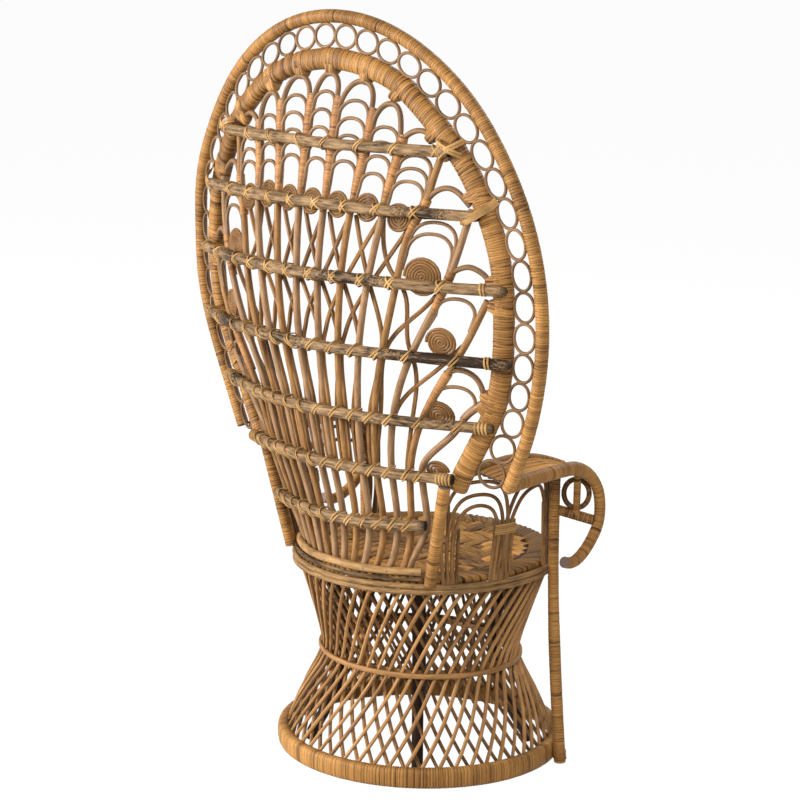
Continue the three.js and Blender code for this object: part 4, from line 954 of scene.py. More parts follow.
def bars(radius):
    """Unpeeled poles across the back: a little taper, nodes swollen by a bell curve, a wander of slow sines,
    stains and dark pointed ends."""
    for number, (half, _, _) in enumerate(BARS):
        bar = Bundle(20 + number)
        x = np.linspace(bar_end(number, -1), bar_end(number, 1), 161)
        reach = x / half
        z, lift = bar_axis(number, x)
        for high, waves, phase in BAR_WANDER:
            z = z + high * np.sin(waves * reach + phase * number)
        path = on_shell(x, z, lift + BAR_CLEAR + BAR_SWAY * np.sin(SWAY_WAVES * reach + number))
        end = np.clip(np.minimum(x - x[0], x[-1] - x) / BAR_POINT, 0, 1)
        tip = BAR_TIPS[number]
        thick = 1 + BAR_TAPER * (bar.rng.random() - 0.5) * reach
        thick = thick * (tip + (1 - tip) * end**TIP_ROUND)
        for node in bar.rng.uniform(-NODE_REACH, NODE_REACH, max(2, half // NODE_STEP)):
            thick = thick + NODE_SWELL * np.exp(-((x - half * node) / NODE_WIDE) ** 2)
        tone = BAR_TONES[number] - TIP_DARK * (1 - end) ** TIP_FADE
        for place, spread, depth in BAR_STAINS.get(number, ()):
            tone = tone - depth * np.exp(-((reach - place) / spread) ** 4)
        shape = section(2 * radius, 2 * radius, 14) * thick[:, None, None]
        bar.canes(path, shell_normal(x, z), shape, tone=tone[None])
        bar.build(f"bark_bar_{number + 1}", [finish("bark"), finish("dark")], "bark_pole",
                  f"back_bar_{number + 1}")


def stake_x(number, z):
    """Sideways place of a stake at a height; number -1 is the first stake of the other side."""
    if number < 0:
        return -stake_x(0, z)
    table = np.array(STAKES[number], float)
    return spline(table[:, 1], table[:, 0], z)[..., 0]


def stake_top(number):
    """Height of a stake's top; number -1 is the first stake of the other side."""
    return STAKES[max(number, 0)][-1][1]


def arch(inside, outside, peak, rise, hug, tail):
    """Cane from one stake over a peak to the next: half a superellipse on legs that stand beside the stakes,
    each running on into a tail that closes on its stake."""
    base = peak[1] - rise
    turn = np.linspace(np.pi, 0, 41)
    round_x = np.sign(np.cos(turn)) * np.abs(np.cos(turn)) ** (2 / ARCH_ROUND)
    round_z = np.abs(np.sin(turn)) ** (2 / ARCH_ROUND)
    near, far = float(stake_x(inside, base)), float(stake_x(outside, base))
    middle, half = (near + far) / 2, (far - near) / 2 - hug
    over = np.stack([middle + (peak[0] - middle) * round_z + half * round_x, base + rise * round_z], axis=-1)
    down = np.linspace(0, 1, 9)[1:]
    z = base - tail * down
    near_tail = np.stack([stake_x(inside, z) + hug * (1 - TAIL_CLOSE * down), z], axis=-1)
    far_tail = np.stack([stake_x(outside, z) - hug * (1 - TAIL_CLOSE * down), z], axis=-1)
    whole = np.concatenate([near_tail[::-1], over, far_tail])
    return pick(whole, np.linspace(0, run_along(whole)[-1], 48))


def rosette(middle, height, room, begin):
    """Flat spiral of cane: the radius grows evenly, about one pitch a turn, out to the room there is, and
    the end lies on one side."""
    reach = room - COIL_RADIUS - GAP
    turns = math.floor(2 * (reach - COIL_START) / COIL_PITCH) / 2
    back = np.linspace(1, 0, max(12, round(turns * 20)))
    radius = COIL_START + (reach - COIL_START) * (1 - back)
    turn = 2 * np.pi * turns * back
    return np.stack([middle + begin * radius * np.cos(turn), height + radius * np.sin(turn)], axis=-1)


def laid(bundle, flat, side, radius, corners, lift=0.0, **extra):
    """Round cane on the back along a line of x and z."""
    x, z = side * flat[:, 0], flat[:, 1]
    bundle.canes(on_shell(x, z, lift), shell_normal(x, z), section(2 * radius, 2 * radius, corners), **extra)


def stakes(radius):
    """Stem of each stake on the shell, its crown cane, nested arches, branch and rosette, and peel wound
    over the stem and the arch feet above the second bar."""
    finishes = [finish(kind) for kind in ("cane", "cut", "wrap", "grey")]
    for label, side in SIDES:
        for number in range(len(STAKES)):
            stake = Bundle(40 + 10 * number + side)
            crowned = number < len(CROWNS)
            z = np.linspace(STAKE_FOOT, stake_top(number) + (0.0 if crowned else TUCK), 90)
            stem = np.stack([stake_x(number, z), z], axis=-1)
            laid(stake, stem, side, radius, 10, tone=np.array([STEM_TONES[number]]),
                 skin=0 if number % 2 else 3)
            if crowned:
                wrap_stake(stake, number, side, WRAP_FROM, stake_top(number) - WRAP_TOP, WRAP_WIDE)
            for gap in [number] + ([-1] if number == 0 and side == 1 else []):
                fill_gap(stake, gap, side)
            if number in BRANCHES:
                low, *line = BRANCHES[number]
                onward = np.add(line[-1], TUCK * unit(np.subtract(line[-1], line[-2])))
                root = [(float(stake_x(number, z)), z) for z in (low - ARCH_TAIL, low)]
                laid(stake, through([*root, *line, onward], 40), side, CROWN_RADIUS, 8,
                     tone=np.array([BRANCH_TONE]), skin=3)
                wrap_stake(stake, number, side, low - BRANCH_WRAP_LOW, low + BRANCH_WRAP_HIGH,
                           WRAP_WIDE - WRAP_NARROW)
            stake.build(f"cane_stake_{label}_{number + 1}", finishes, "brown_cane",
                        f"stake_{label}_{number + 1}")


def wrap_stake(stake, number, side, low, high, wide):
    """Fine peel wound round a stake between two heights, widening to the width of the canes it gathers."""
    z = np.linspace(low, high, 40)
    x = side * stake_x(number, z)
    span = np.interp(z, [low, low + WRAP_STEP, low + 2 * WRAP_STEP],
                     [2 * STAKE_RADIUS + WRAP_SLACK, wide - WRAP_NARROW, wide])
    shape = section(1.0, 1.0, 14) * np.stack([span, np.full_like(span, WRAP_DEEP)], axis=-1)[:, None]
    path = on_shell(x, z, np.full(len(z), WRAP_LIFT))
    stake.wind(path, shell_normal(x, z), shape, WRAP_STRIP, WRAP_RISE, skin=2, cut=2)


def fill_gap(stake, gap, side):
    """Crown, nested arches and rosettes of the gap on the outer side of a stake."""
    inside, outside = gap, gap + 1
    if gap in CROWNS:
        low = min(stake_top(inside), stake_top(outside)) - CROWN_FOOT
        path = arch(inside, outside, CROWNS[gap], CROWNS[gap][1] - low, CROWN_HUG, CROWN_TAIL)
        laid(stake, path, side, CROWN_RADIUS, 8, tone=np.array([CROWN_TONE]), skin=3)
    for height in ROWS.get(gap, ()):
        half = float(stake_x(outside, height - ARCH_RISE) - stake_x(inside, height - ARCH_RISE)) / 2
        middle = half + float(stake_x(inside, height - ARCH_RISE))
        rise = max(ARCH_RISE, ARCH_STEEP * (half - ARCH_HUG))
        path = arch(inside, outside, (middle, height), rise, ARCH_HUG, ARCH_TAIL)
        laid(stake, path, side, ARCH_RADIUS, 8, tone=stake.rng.uniform(*ARCH_TONES, 1), skin=3)
    if gap in COILS:
        height, reach, aside = COILS[gap]
        near, far = float(stake_x(inside, height)), float(stake_x(outside, height))
        path = rosette((near + far) / 2 + aside, height, min(reach, (far - near) / 2 - STAKE_RADIUS), -1)
        laid(stake, path, side, COIL_RADIUS, 8, tone=np.array([COIL_TONE]))
    if gap == len(STAKES) - 1:
        laid(stake, rosette(*LAST_COIL, 1), side, COIL_RADIUS, 8, tone=np.array([COIL_TONE]))


def fan_diagonals(radius):
    """Thin canes that cross from stake to stake on the front of the fan, then run down beside a stake."""
    fan = Bundle(12)
    depth = STAKE_RADIUS + DIAGONAL_RADIUS + GAP
    for side in (1, -1):
        for k in range(INNER_CANES):
            orders = [ORDERS[min(k + i, k + 2)] for i in range(len(CROSSING))]
            x = [math.copysign(1, order) * float(stake_x(abs(order) - 1, z)) + aside
                 for order, z, aside in zip(orders, CROSSING, PASSING)]
            flat = through(np.stack([x, CROSSING], axis=-1), 60)
            laid(fan, flat, side, radius, 7, -depth * np.interp(flat[:, 1], *INNER_SINK),
                 tone=fan.rng.uniform(*INNER_SHADES, 1))
        for line in OUTER_CANES:
            flat = through(line, 50)
            laid(fan, flat, side, radius, 7, -depth * np.interp(flat[:, 1], *OUTER_SINK),
                 tone=fan.rng.uniform(*OUTER_SHADES, 1))
    fan.build("cane_fan_diagonals", [finish("cane"), finish("cut")], "brown_cane", "fan_diagonals")


def lashings(width):
    """Strips of peel tied round the crossings of bars and stakes and round the ends of bars."""
    ties = Bundle(13)
    shape = section(width, TIE_THICK, 6, TIE_SQUARE)
    turn = 2 * np.pi * np.arange(TIE_POINTS) / TIE_POINTS
    ux, uy = np.cos(turn), np.sin(turn)
    crossing_ties(ties, shape, ux, uy)
    end_turns(ties, shape, ux, uy)
    straps(ties)
    ties.build("peel_lashings", [finish("lash"), finish("cut")], "wrapped_peel")


def crossing_ties(ties, shape, ux, uy):
    """Loops in a slanting plane at each crossing, drawn round bar and stake like a belt: each point is taken
    from whichever pole reaches further in its direction."""
    spots = []
    for number, (half, height, _) in enumerate(BARS):
        for order in range(len(STAKES)):
            x = float(stake_x(order, height))
            if height > stake_top(order) - TOP_MARGIN or x > half - END_MARGIN:
                continue
            strips = CROSS_TIE if number in CROSS_BARS else DOUBLE_TIE
            for side, (slant, aside) in itertools.product((1, -1), strips):
                spots.append((side * x, number, slant * side, aside))
    x, number, slant, aside = (np.array(column, float) for column in zip(*spots))
    axis = np.array([bar_axis(int(k), place) for k, place in zip(number, x)])
    z, lift = axis[:, 0], axis[:, 1] + TIE_LIFT
    normal = shell_normal(x, z)
    along = unit(on_shell(x + 1, z) - on_shell(x - 1, z))
    upward = np.cross(along, normal)
    lean = TIE_LEAN + ties.rng.normal(0, TIE_STRAY, len(x))
    across = along * np.cos(lean)[:, None] * slant[:, None] + upward * np.sin(lean)[:, None]
    beside = np.cross(normal, across)
    bar_wide = ((BAR_RADIUS + BAR_ROOM_WIDE) / np.sin(lean))[:, None]
    stake_wide = ((STAKE_RADIUS + STAKE_ROOM) / np.cos(lean))[:, None]
    rear = belt(ux, uy, bar_wide, BAR_RADIUS + BAR_ROOM_DEEP, lift[:, None])
    front = belt(ux, uy, stake_wide, STAKE_RADIUS + STAKE_ROOM, 0.0)
    further = rear[2] > front[2]
    d = np.where(further, rear[0], front[0])
    n = np.where(further, rear[1], front[1])
    centre = on_shell(x, z) + beside * aside[:, None]
    paths = centre[:, None] + d[..., None] * across[:, None] + n[..., None] * normal[:, None]
    face = ux[:, None] * across[:, None] + uy[:, None] * normal[:, None]
    ties.canes(paths, face, shape, closed=True)


def end_turns(ties, shape, ux, uy):
    """Single turns round a bar near its ends: a circle, moved along the bar by the sine times its slant."""
    for number, insets, slants in END_TURNS:
        for side, inset, slant in itertools.product((1, -1), insets, slants):
            place = bar_end(number, side) - side * inset
            z, lift = bar_axis(number, place)
            normal = shell_normal(np.float64(place), np.float64(z))
            along = unit(on_shell(place + 1, z) - on_shell(place - 1, z))
            out = ux[:, None] * normal + uy[:, None] * np.cross(along, normal)
            ring = (BAR_RADIUS + TURN_ROOM) * (out + slant * uy[:, None] * along)
            ties.canes(on_shell(place, z, lift + TURN_LIFT) + ring, out, shape, closed=True)


def straps(ties):
    """Broad strips along splines from the bar ends to the band."""
    for (broad, points), side in itertools.product(STRAPS, (1, -1)):
        x, z, lift = through(points, 24).T
        ties.canes(on_shell(side * x, z, lift), shell_normal(side * x, z),
                   section(broad, STRAP_THICK, 8, STRAP_SQUARE))


def belt(ux, uy, wide, tall, lift):
    """Furthest point of an ellipse in each direction, and how far it reaches."""
    far = np.sqrt((wide * ux) ** 2 + (tall * uy) ** 2)
    d = wide**2 * ux / far
    n = lift + tall**2 * uy / far
    return d, n, d * ux + n * uy


# Arms

def arm_frame(sizes):
    """Post, rails and rear post of each arm, wound with peel along splines through their points; the outer
    rail thins from its level part into the scroll."""
    width, rise = sizes.strip_width / MM, sizes.strip_rise / MM
    for label, side in SIDES:
        for number, (node, points, thick, count, face, tone) in enumerate(ARM_MEMBERS):
            member = Bundle(60 + 10 * number + side)
            path = through(mirrored(points, side), count)
            if node == "arm_rear_post" and side > 0:
                path = path - np.linspace(0, POST_SHIFT, count)[:, None] * [1, 0, 0]
            across = np.interp(np.linspace(0, 1, count), [THIN_FROM, THIN_TO], thick)
            face = np.array(face, float)
            shape = section(1.0, 1.0, 14) * across[:, None, None]
            # The arm post's tones fall near its top as painted shade under the rail
            member.wind(path, face, shape, width, rise * ARM_BULGE, tone=tone)
            if node == "arm_post":
                collar = pick(path, np.linspace(COLLAR_FROM, COLLAR_TO, 12))
                shape = section(thick[0] + COLLAR_OVER, thick[0] + COLLAR_OVER, 14)
                member.wind(collar, face, shape, width, rise * PEEL_BULGE, lean=COLLAR_LEAN,
                            tone=COLLAR_TONE)
            member.build(f"wound_{node}_{label}", [finish("peel"), finish("cut")], "wrapped_peel",
                         f"{node}_{label}")


def arm_braces(sizes):
    """Brace from post to scroll, its leaning stick and the round loop between them, all wound with peel;
    brace and loop are darkened as painted shade.
    """
    width, rise = sizes.strip_width / MM, sizes.strip_rise / MM
    for label, side in SIDES:
        brace = Bundle(100 + side)
        rods = ((ARM_BRACE, BRACE_THICK, BRACE_SHADE_TONE), (ARM_STICK, STICK_THICK, STICK_TONE))
        for points, thick, tone in rods:
            path = through(mirrored(points, side), 24)
            brace.wind(path, BRACE_FACE, section(thick, thick, 12), width, rise, tone=tone)
        centre, wide, tall = ARM_RING
        out = unit(mirrored(np.subtract(ARM_BRACE[1], ARM_BRACE[0]) * [1, 1, 0], side))
        turn = np.linspace(0, 2 * np.pi, 61)[:, None]
        loop = mirrored(centre, side) + wide * np.cos(turn) * out + tall * np.sin(turn) * UP
        shape = section(RING_THICK, RING_THICK, 10)
        # The loop's dark tone is painted shade under the rail
        brace.wind(loop, np.cross(out, UP), shape, width * RING_STRIP, rise, closed=True, tone=RING_TONE)
        brace.build(f"wound_arm_brace_{label}", [finish("peel"), finish("cut")], "wrapped_peel",
                    f"arm_brace_{label}")


def at_depth(points, y):
    """Point of an arm member at a depth, by straight steps between its points."""
    table = np.array(points, float)[::-1]
    return np.stack([np.interp(y, table[:, 1], table[:, axis]) for axis in (0, 2)], axis=-1)


def armrests():
    """Flat canes laid fore and aft between the two rails, each at its own share of the way across."""
    y = np.linspace(*ARMREST_ENDS, 30)
    low, high = at_depth(INNER_RAIL, y), at_depth(ARM_RAIL[:LEVEL_KNOTS], y)
    inside, outside = low[:, 0] + INNER_CLEAR, high[:, 0] - OUTER_CLEAR
    share = (np.arange(ARMREST_CANES) + 0.5)[:, None] / ARMREST_CANES
    for label, side in SIDES:
        rest = Bundle(110 + side)
        x = inside + (outside - inside) * share
        stray = rest.rng.normal(0, ARMREST_STRAY, (ARMREST_CANES, 1))
        z = low[:, 1] + (high[:, 1] - low[:, 1]) * share + stray
        paths = mirrored(np.stack(np.broadcast_arrays(x, y, z), axis=-1), side)
        wide = (outside - inside)[:, None, None] / ARMREST_CANES * ARMREST_PACK
        size = np.concatenate([wide, np.full_like(wide, ARMREST_THICK)], axis=-1)
        flat = section(1.0, 1.0, 10, ARMREST_SQUARE) * size
        rest.canes(paths, UP, flat, tone=rest.rng.uniform(*ARMREST_TONES, ARMREST_CANES))
        rest.build(f"armrest_canes_{label}", [finish("straw"), finish("cut")], "brown_cane",
                   f"arm_panel_{label}")


def loop_spot(degrees, height):
    """Point over the lower seat hoop at an angle: the rear loops lean out evenly with height, the front ones
    stand upright."""
    angle = np.radians(180 - degrees)
    upright = np.clip((degrees - LEAN_FROM) / (LEAN_TO - LEAN_FROM), 0, 1)
    out = SIDE_LEAN * (1 - upright) * (height - LOOP_FOOT)
    return oval(POLE_REACH + out, POLE_REACH * SEAT_RATIO + out, SEAT_SHIFT, angle, height)


def arm_loops(radius):
    """Nested cane loops under each arm, splines through feet, shoulders and peak, with short straight canes
    packed between their legs and a peel tie at the middle."""
    for label, side in SIDES:
        loops = Bundle(120 + side)
        for begin, end, peak in SIDE_LOOPS:
            middle, width = (begin + end) / 2, end - begin
            shoulder = LOOP_FOOT + LOOP_SHOULDER * (peak - LOOP_FOOT)
            bend = peak - LOOP_DROP
            apart = LOOP_SPAN * width
            degrees = np.array([begin, begin, middle - apart, middle, middle + apart, end, end])
            height = np.array([LOOP_FOOT, shoulder, bend, peak, bend, shoulder, LOOP_FOOT])
            path = through(mirrored(loop_spot(degrees, height), side), 70)
            loops.canes(path, from_seat(path), section(2 * radius, 2 * radius, 9),
                        tone=loops.rng.uniform(*LOOP_TONES, 1))
        for degrees, top in PILLARS:
            path = mirrored(loop_spot(np.full(20, degrees), np.linspace(LOOP_FOOT, top, 20)), side)
            loops.canes(path, from_seat(path), section(PILLAR_THICK * radius, PILLAR_THICK * radius, 8),
                        tone=loops.rng.uniform(*PILLAR_TONES, 1))
        degrees = np.linspace(*TIE_ANGLES, 3)
        for height in np.arange(TIE_LEVELS[0] + TIE_BEGIN, TIE_LEVELS[1], TIE_STEP):
            core = mirrored(loop_spot(degrees, np.full(3, height)), side)
            out = from_seat(core) * (radius + TIE_CLEAR)
            ring = np.concatenate([core + out, (core - out)[::-1]])
            loops.canes(ring, ring - ring.mean(axis=0), section(*TIE_SECTION, 4), closed=True, skin=2)
        loops.build(f"cane_arm_loops_{label}", [finish("cane"), finish("cut"), finish("lash")], "brown_cane",
                    f"arm_loops_{label}")


# Stage

def white_for_camera(tree, lit, white):
    """Mix of a lit shader and a second one, seen by camera, glossy and transmission rays in that share."""
    path = wire(tree, "ShaderNodeLightPath")
    seen = path.outputs["Is Camera Ray"]
    for ray in ("Is Glossy Ray", "Is Transmission Ray"):
        seen = wire(tree, "ShaderNodeMath", {0: seen, 1: path.outputs[ray]}, operation="MAXIMUM").outputs[0]
    share = wire(tree, "ShaderNodeMath", {0: seen, 1: white}, operation="MULTIPLY")
    return wire(tree, "ShaderNodeMixShader", {0: share.outputs[0], 1: lit})


def studio_floor(look):
    """Pale floor, mostly plain white to the camera, that keeps a faint shadow."""
    half = FLOOR_HALF
    corners = [(-half, -half, 0), (half, -half, 0), (half, half, 0), (-half, half, 0)]
    mesh = bpy.data.meshes.new("floor")
    mesh.from_pydata(corners, [], [(0, 1, 2, 3)])
    floor = bpy.data.objects.new("floor", mesh)
    bpy.context.scene.collection.objects.link(floor)
    paper = bpy.data.materials.new("pale studio floor")
    paper.use_nodes = True
    tree = paper.node_tree
    tree.nodes.clear()
    matt = wire(tree, "ShaderNodeBsdfDiffuse", {"Color": (*look.floor_colour, 1.0)})
    glow = wire(tree, "ShaderNodeEmission", {"Color": (1, 1, 1, 1), "Strength": look.floor_glow})
    mix = white_for_camera(tree, matt.outputs[0], look.floor_white)
    tree.links.new(glow.outputs[0], mix.inputs[2])
    wire(tree, "ShaderNodeOutputMaterial", {"Surface": mix.outputs[0]})
    mesh.materials.append(paper)


def surroundings(look):
    """White background to the camera, and a dim even light on the chair."""
    world = bpy.data.worlds.new("white studio")
    bpy.context.scene.world = world
    world.use_nodes = True
    tree = world.node_tree
    tree.nodes.clear()
    ambient = wire(tree, "ShaderNodeBackground", {"Color": (1, 1, 1, 1), "Strength": look.ambient})
    backdrop = wire(tree, "ShaderNodeBackground", {"Color": (1, 1, 1, 1), "Strength": 1.0})
    mix = white_for_camera(tree, ambient.outputs[0], 1.0)
    tree.links.new(backdrop.outputs[0], mix.inputs[2])
    wire(tree, "ShaderNodeOutputWorld", {"Surface": mix.outputs[0]})


def soft_lamps(look):
    """Round area lamps, each aimed at the middle of the chair."""
    powers = {"key": look.key_power, "fill": look.fill_power, "front": look.front_power}
    for name, (place, size) in LAMPS.items():
        light = bpy.data.lights.new(name, "AREA")
        light.energy = powers[name]
        light.shape = "DISK"
        light.size = size
        lamp = bpy.data.objects.new(name, light)
        lamp.location = place
        lamp.rotation_euler = direction_turn(np.subtract(LAMP_AIM, place))
        bpy.context.scene.collection.objects.link(lamp)


def photograph_view(look):
    """Camera at the place from which the photograph was taken."""
    camera = bpy.data.cameras.new("photograph view")
    camera.lens = look.lens
    camera.sensor_width = SENSOR_WIDE
    camera.clip_end = CAMERA_FAR
    holder = bpy.data.objects.new("photograph view", camera)
    holder.location = (np.add(CAMERA_SPOT, [0, SHIFT_Y, 0]) * MM).tolist()
    holder.rotation_euler = direction_turn(np.array(CAMERA_AIM))
    bpy.context.scene.collection.objects.link(holder)
    bpy.context.scene.camera = holder
    bpy.context.scene.view_settings.view_transform = "Standard"


def direction_turn(aim):
    """Euler turn that points a lamp or camera's -Z along a direction, with its X level."""
    aim = aim / np.linalg.norm(aim)
    return (math.acos(-aim[2]), 0.0, math.atan2(-aim[0], aim[1]))


# Settings, operators and panel

class ChairSizes(bpy.types.PropertyGroup):
    """Sizes of strips and canes"""

    strip_width: bpy.props.FloatProperty(
        name="Peel strip width", description="Width of the peel wound on hoops and posts",
        default=0.0046, min=0.002, unit="LENGTH")
    strip_rise: bpy.props.FloatProperty(
        name="Peel strip rise", description="How far a strip of peel bulges between its grooves",
        default=0.0005, min=0.0, unit="LENGTH")
    rod_radius: bpy.props.FloatProperty(
        name="Lattice rod radius", description="Radius of the rods of the base lattice",
        default=0.0038, min=0.001, unit="LENGTH")
    ring_radius: bpy.props.FloatProperty(
        name="Ring cane radius", description="Radius of the cane of the ring chain",
        default=0.003, min=0.001, unit="LENGTH")
    bar_radius: bpy.props.FloatProperty(
        name="Bar radius", description="Radius of the poles across the back",
        default=0.0102, min=0.003, unit="LENGTH")
    stake_radius: bpy.props.FloatProperty(
        name="Stake radius", description="Radius of the upright canes of the back",
        default=0.0067, min=0.002, unit="LENGTH")
    loop_radius: bpy.props.FloatProperty(
        name="Arm loop radius", description="Radius of the canes of the arm loops",
        default=0.0036, min=0.001, unit="LENGTH")
    lashing_width: bpy.props.FloatProperty(
        name="Lashing width", description="Width of the peel tied round the crossings",
        default=0.0036, min=0.001, unit="LENGTH")
    splint_width: bpy.props.FloatProperty(
        name="Straw bundle width", description="Spacing of the straw bundles of the seat",
        default=0.025, min=0.004, unit="LENGTH")


class ChairColours(bpy.types.PropertyGroup):
    """Middle colour of each material"""

    peel: bpy.props.FloatVectorProperty(
        name="Peel", description="Peel wound on hoops, band, rails and posts", subtype="COLOR", size=3,
        default=linear("#9c6f3a"), min=0.0, max=1.0)
    wrap: bpy.props.FloatVectorProperty(
        name="Fine peel", description="Peel wound on the stakes of the fan", subtype="COLOR", size=3,
        default=linear("#a27243"), min=0.0, max=1.0)
    # Rim straw: partly the straw's own colour, partly painted shade of the rim's side
    rim: bpy.props.FloatVectorProperty(
        name="Rim straw", description="Straw wound on the seat rim", subtype="COLOR", size=3,
        default=linear("#825c2c"), min=0.0, max=1.0)
    straw: bpy.props.FloatVectorProperty(
        name="Seat straw", description="Straw of the seat panel and the armrests", subtype="COLOR", size=3,
        default=linear("#b68343"), min=0.0, max=1.0)
    cane: bpy.props.FloatVectorProperty(
        name="Cane", description="Lattice rods, stakes, diagonals and loops", subtype="COLOR", size=3,
        default=linear("#90683d"), min=0.0, max=1.0)
    grey: bpy.props.FloatVectorProperty(
        name="Weathered cane", description="Rings, arches, branches and every other stake",
        subtype="COLOR", size=3,
        default=linear("#7f6042"), min=0.0, max=1.0)
    bark: bpy.props.FloatVectorProperty(
        name="Bark", description="Unpeeled bars across the back", subtype="COLOR", size=3,
        default=linear("#816545"), min=0.0, max=1.0)
    pole: bpy.props.FloatVectorProperty(
        name="Peeled pole", description="Hoops round the seat", subtype="COLOR", size=3,
        default=linear("#8d6b42"), min=0.0, max=1.0)
    dark: bpy.props.FloatVectorProperty(
        name="Dark pole", description="Legs and braces under the seat, dark ends of poles",
        subtype="COLOR", size=3,
        default=linear("#2c1a0e"), min=0.0, max=1.0)
    lash: bpy.props.FloatVectorProperty(
        name="Lashing", description="Peel tied round the crossings", subtype="COLOR", size=3,
        default=linear("#a67f4b"), min=0.0, max=1.0)
    cut: bpy.props.FloatVectorProperty(
        name="Cut end", description="Sawn ends of canes and poles", subtype="COLOR", size=3,
        default=linear("#75635a"), min=0.0, max=1.0)


class ChairStage(bpy.types.PropertyGroup):
    """Floor, light and camera"""

    floor_colour: bpy.props.FloatVectorProperty(
        name="Floor colour", description="Colour of the studio floor", subtype="COLOR", size=3,
        default=linear("#dcdcda"), min=0.0, max=1.0)
    floor_white: bpy.props.FloatProperty(
        name="Floor white", description="Share of plain white that the camera sees on the floor",
        default=0.86, min=0.0, max=1.0, subtype="FACTOR")
    floor_glow: bpy.props.FloatProperty(
        name="Floor glow", description="Strength of that white", default=1.12, min=0.0)
    ambient: bpy.props.FloatProperty(
        name="Ambient light", description="Strength of the light from all round", default=0.1, min=0.0)
    key_power: bpy.props.FloatProperty(
        name="Key lamp", description="Power of the main lamp", default=725.0, min=0.0, subtype="POWER")
    fill_power: bpy.props.FloatProperty(
        name="Fill lamp", description="Power of the lamp beside the camera",
        default=132.0, min=0.0, subtype="POWER")
    front_power: bpy.props.FloatProperty(
        name="Front lamp", description="Power of the lamp before the chair",
        default=75.0, min=0.0, subtype="POWER")
    lens: bpy.props.FloatProperty(
        name="Lens", description="Focal length of the camera", default=110.2, min=10.0, unit="CAMERA")


class CHAIR_OT_base_hoop(bpy.types.Operator):
    """Winds the base hoop"""

    bl_idname = "chair.base_hoop"
    bl_label = "Base hoop"

    def execute(self, context):
        base_hoop(context.scene.chair_sizes)
        return {"FINISHED"}


class CHAIR_OT_lattice(bpy.types.Operator):
    """Sets the two layers of leaning lattice rods"""

    bl_idname = "chair.lattice"
    bl_label = "Lattice"

    def execute(self, context):
        radius = context.scene.chair_sizes.rod_radius / MM
        inner_ring = WAIST_WIDE - 2 * (WAIST_CANE + radius - ROD_FUSE) - LAYER_STEP
        lattice("outer", 0.0, 1, WAIST_WIDE, radius, OUTER_TONES, 2)
        # The inner rods' lower tones are painted shade
        lattice("inner", LAYER_STEP, -1, inner_ring, radius, INNER_SHADED_TONES, 3)
        return {"FINISHED"}


class CHAIR_OT_inner_frame(bpy.types.Operator):
    """Bends the dark legs and sets the braces under the seat"""

    bl_idname = "chair.inner_frame"
    bl_label = "Inner frame"

    def execute(self, context):
        inner_frame()
        return {"FINISHED"}


class CHAIR_OT_seat_hoops(bpy.types.Operator):
    """Bends the poles round the seat"""

    bl_idname = "chair.seat_hoops"
    bl_label = "Seat hoops"

    def execute(self, context):
        seat_hoops()
        return {"FINISHED"}


class CHAIR_OT_seat_rim(bpy.types.Operator):
    """Winds the straw rim of the seat"""

    bl_idname = "chair.seat_rim"
    bl_label = "Seat rim"

    def execute(self, context):
        seat_rim()
        return {"FINISHED"}


class CHAIR_OT_seat_panel(bpy.types.Operator):
    """Weaves the straw panel of the seat"""

    bl_idname = "chair.seat_panel"
    bl_label = "Seat panel"

    def execute(self, context):
        seat_weave(context.scene.chair_sizes.splint_width / MM)
        return {"FINISHED"}


class CHAIR_OT_outer_hoop(bpy.types.Operator):
    """Winds the outer hoop of the back"""

    bl_idname = "chair.outer_hoop"
    bl_label = "Outer hoop"

    def execute(self, context):
        outer_hoop(context.scene.chair_sizes)
        return {"FINISHED"}


class CHAIR_OT_inner_band(bpy.types.Operator):
    """Winds the inner band of the back"""

    bl_idname = "chair.inner_band"
    bl_label = "Inner band"

    def execute(self, context):
        inner_band(context.scene.chair_sizes)
        return {"FINISHED"}


class CHAIR_OT_ring_chain(bpy.types.Operator):
    """Sets the chain of rings between hoop and band"""

    bl_idname = "chair.ring_chain"
    bl_label = "Ring chain"

    def execute(self, context):
        ring_chain(context.scene.chair_sizes.ring_radius / MM)
        return {"FINISHED"}


class CHAIR_OT_bars(bpy.types.Operator):
    """Lays the unpeeled poles across the back"""

    bl_idname = "chair.bars"
    bl_label = "Cross bars"

    def execute(self, context):
        bars(context.scene.chair_sizes.bar_radius / MM)
        return {"FINISHED"}


class CHAIR_OT_stakes(bpy.types.Operator):
    """Sets the stakes with their arches and rosettes"""

    bl_idname = "chair.stakes"
    bl_label = "Stakes"

    def execute(self, context):
        stakes(context.scene.chair_sizes.stake_radius / MM)
        return {"FINISHED"}


class CHAIR_OT_diagonals(bpy.types.Operator):
    """Lays the crossing canes on the front of the fan"""

    bl_idname = "chair.diagonals"
    bl_label = "Fan diagonals"

    def execute(self, context):
        fan_diagonals(DIAGONAL_CANE)
        return {"FINISHED"}


class CHAIR_OT_lashings(bpy.types.Operator):
    """Ties peel round the crossings of the fan"""

    bl_idname = "chair.lashings"
    bl_label = "Lashings"

    def execute(self, context):
        lashings(context.scene.chair_sizes.lashing_width / MM)
        return {"FINISHED"}


class CHAIR_OT_arm_frame(bpy.types.Operator):
    """Winds the posts and rails of the arms"""

    bl_idname = "chair.arm_frame"
    bl_label = "Arm posts and rails"

    def execute(self, context):
        arm_frame(context.scene.chair_sizes)
        return {"FINISHED"}


class CHAIR_OT_arm_braces(bpy.types.Operator):
    """Winds the braces, sticks and rings of the arms"""

    bl_idname = "chair.arm_braces"
    bl_label = "Arm braces"

    def execute(self, context):
        arm_braces(context.scene.chair_sizes)
        return {"FINISHED"}


class CHAIR_OT_armrests(bpy.types.Operator):
    """Lays the flat canes of the armrests"""

    bl_idname = "chair.armrests"
    bl_label = "Armrests"

    def execute(self, context):
        armrests()
        return {"FINISHED"}


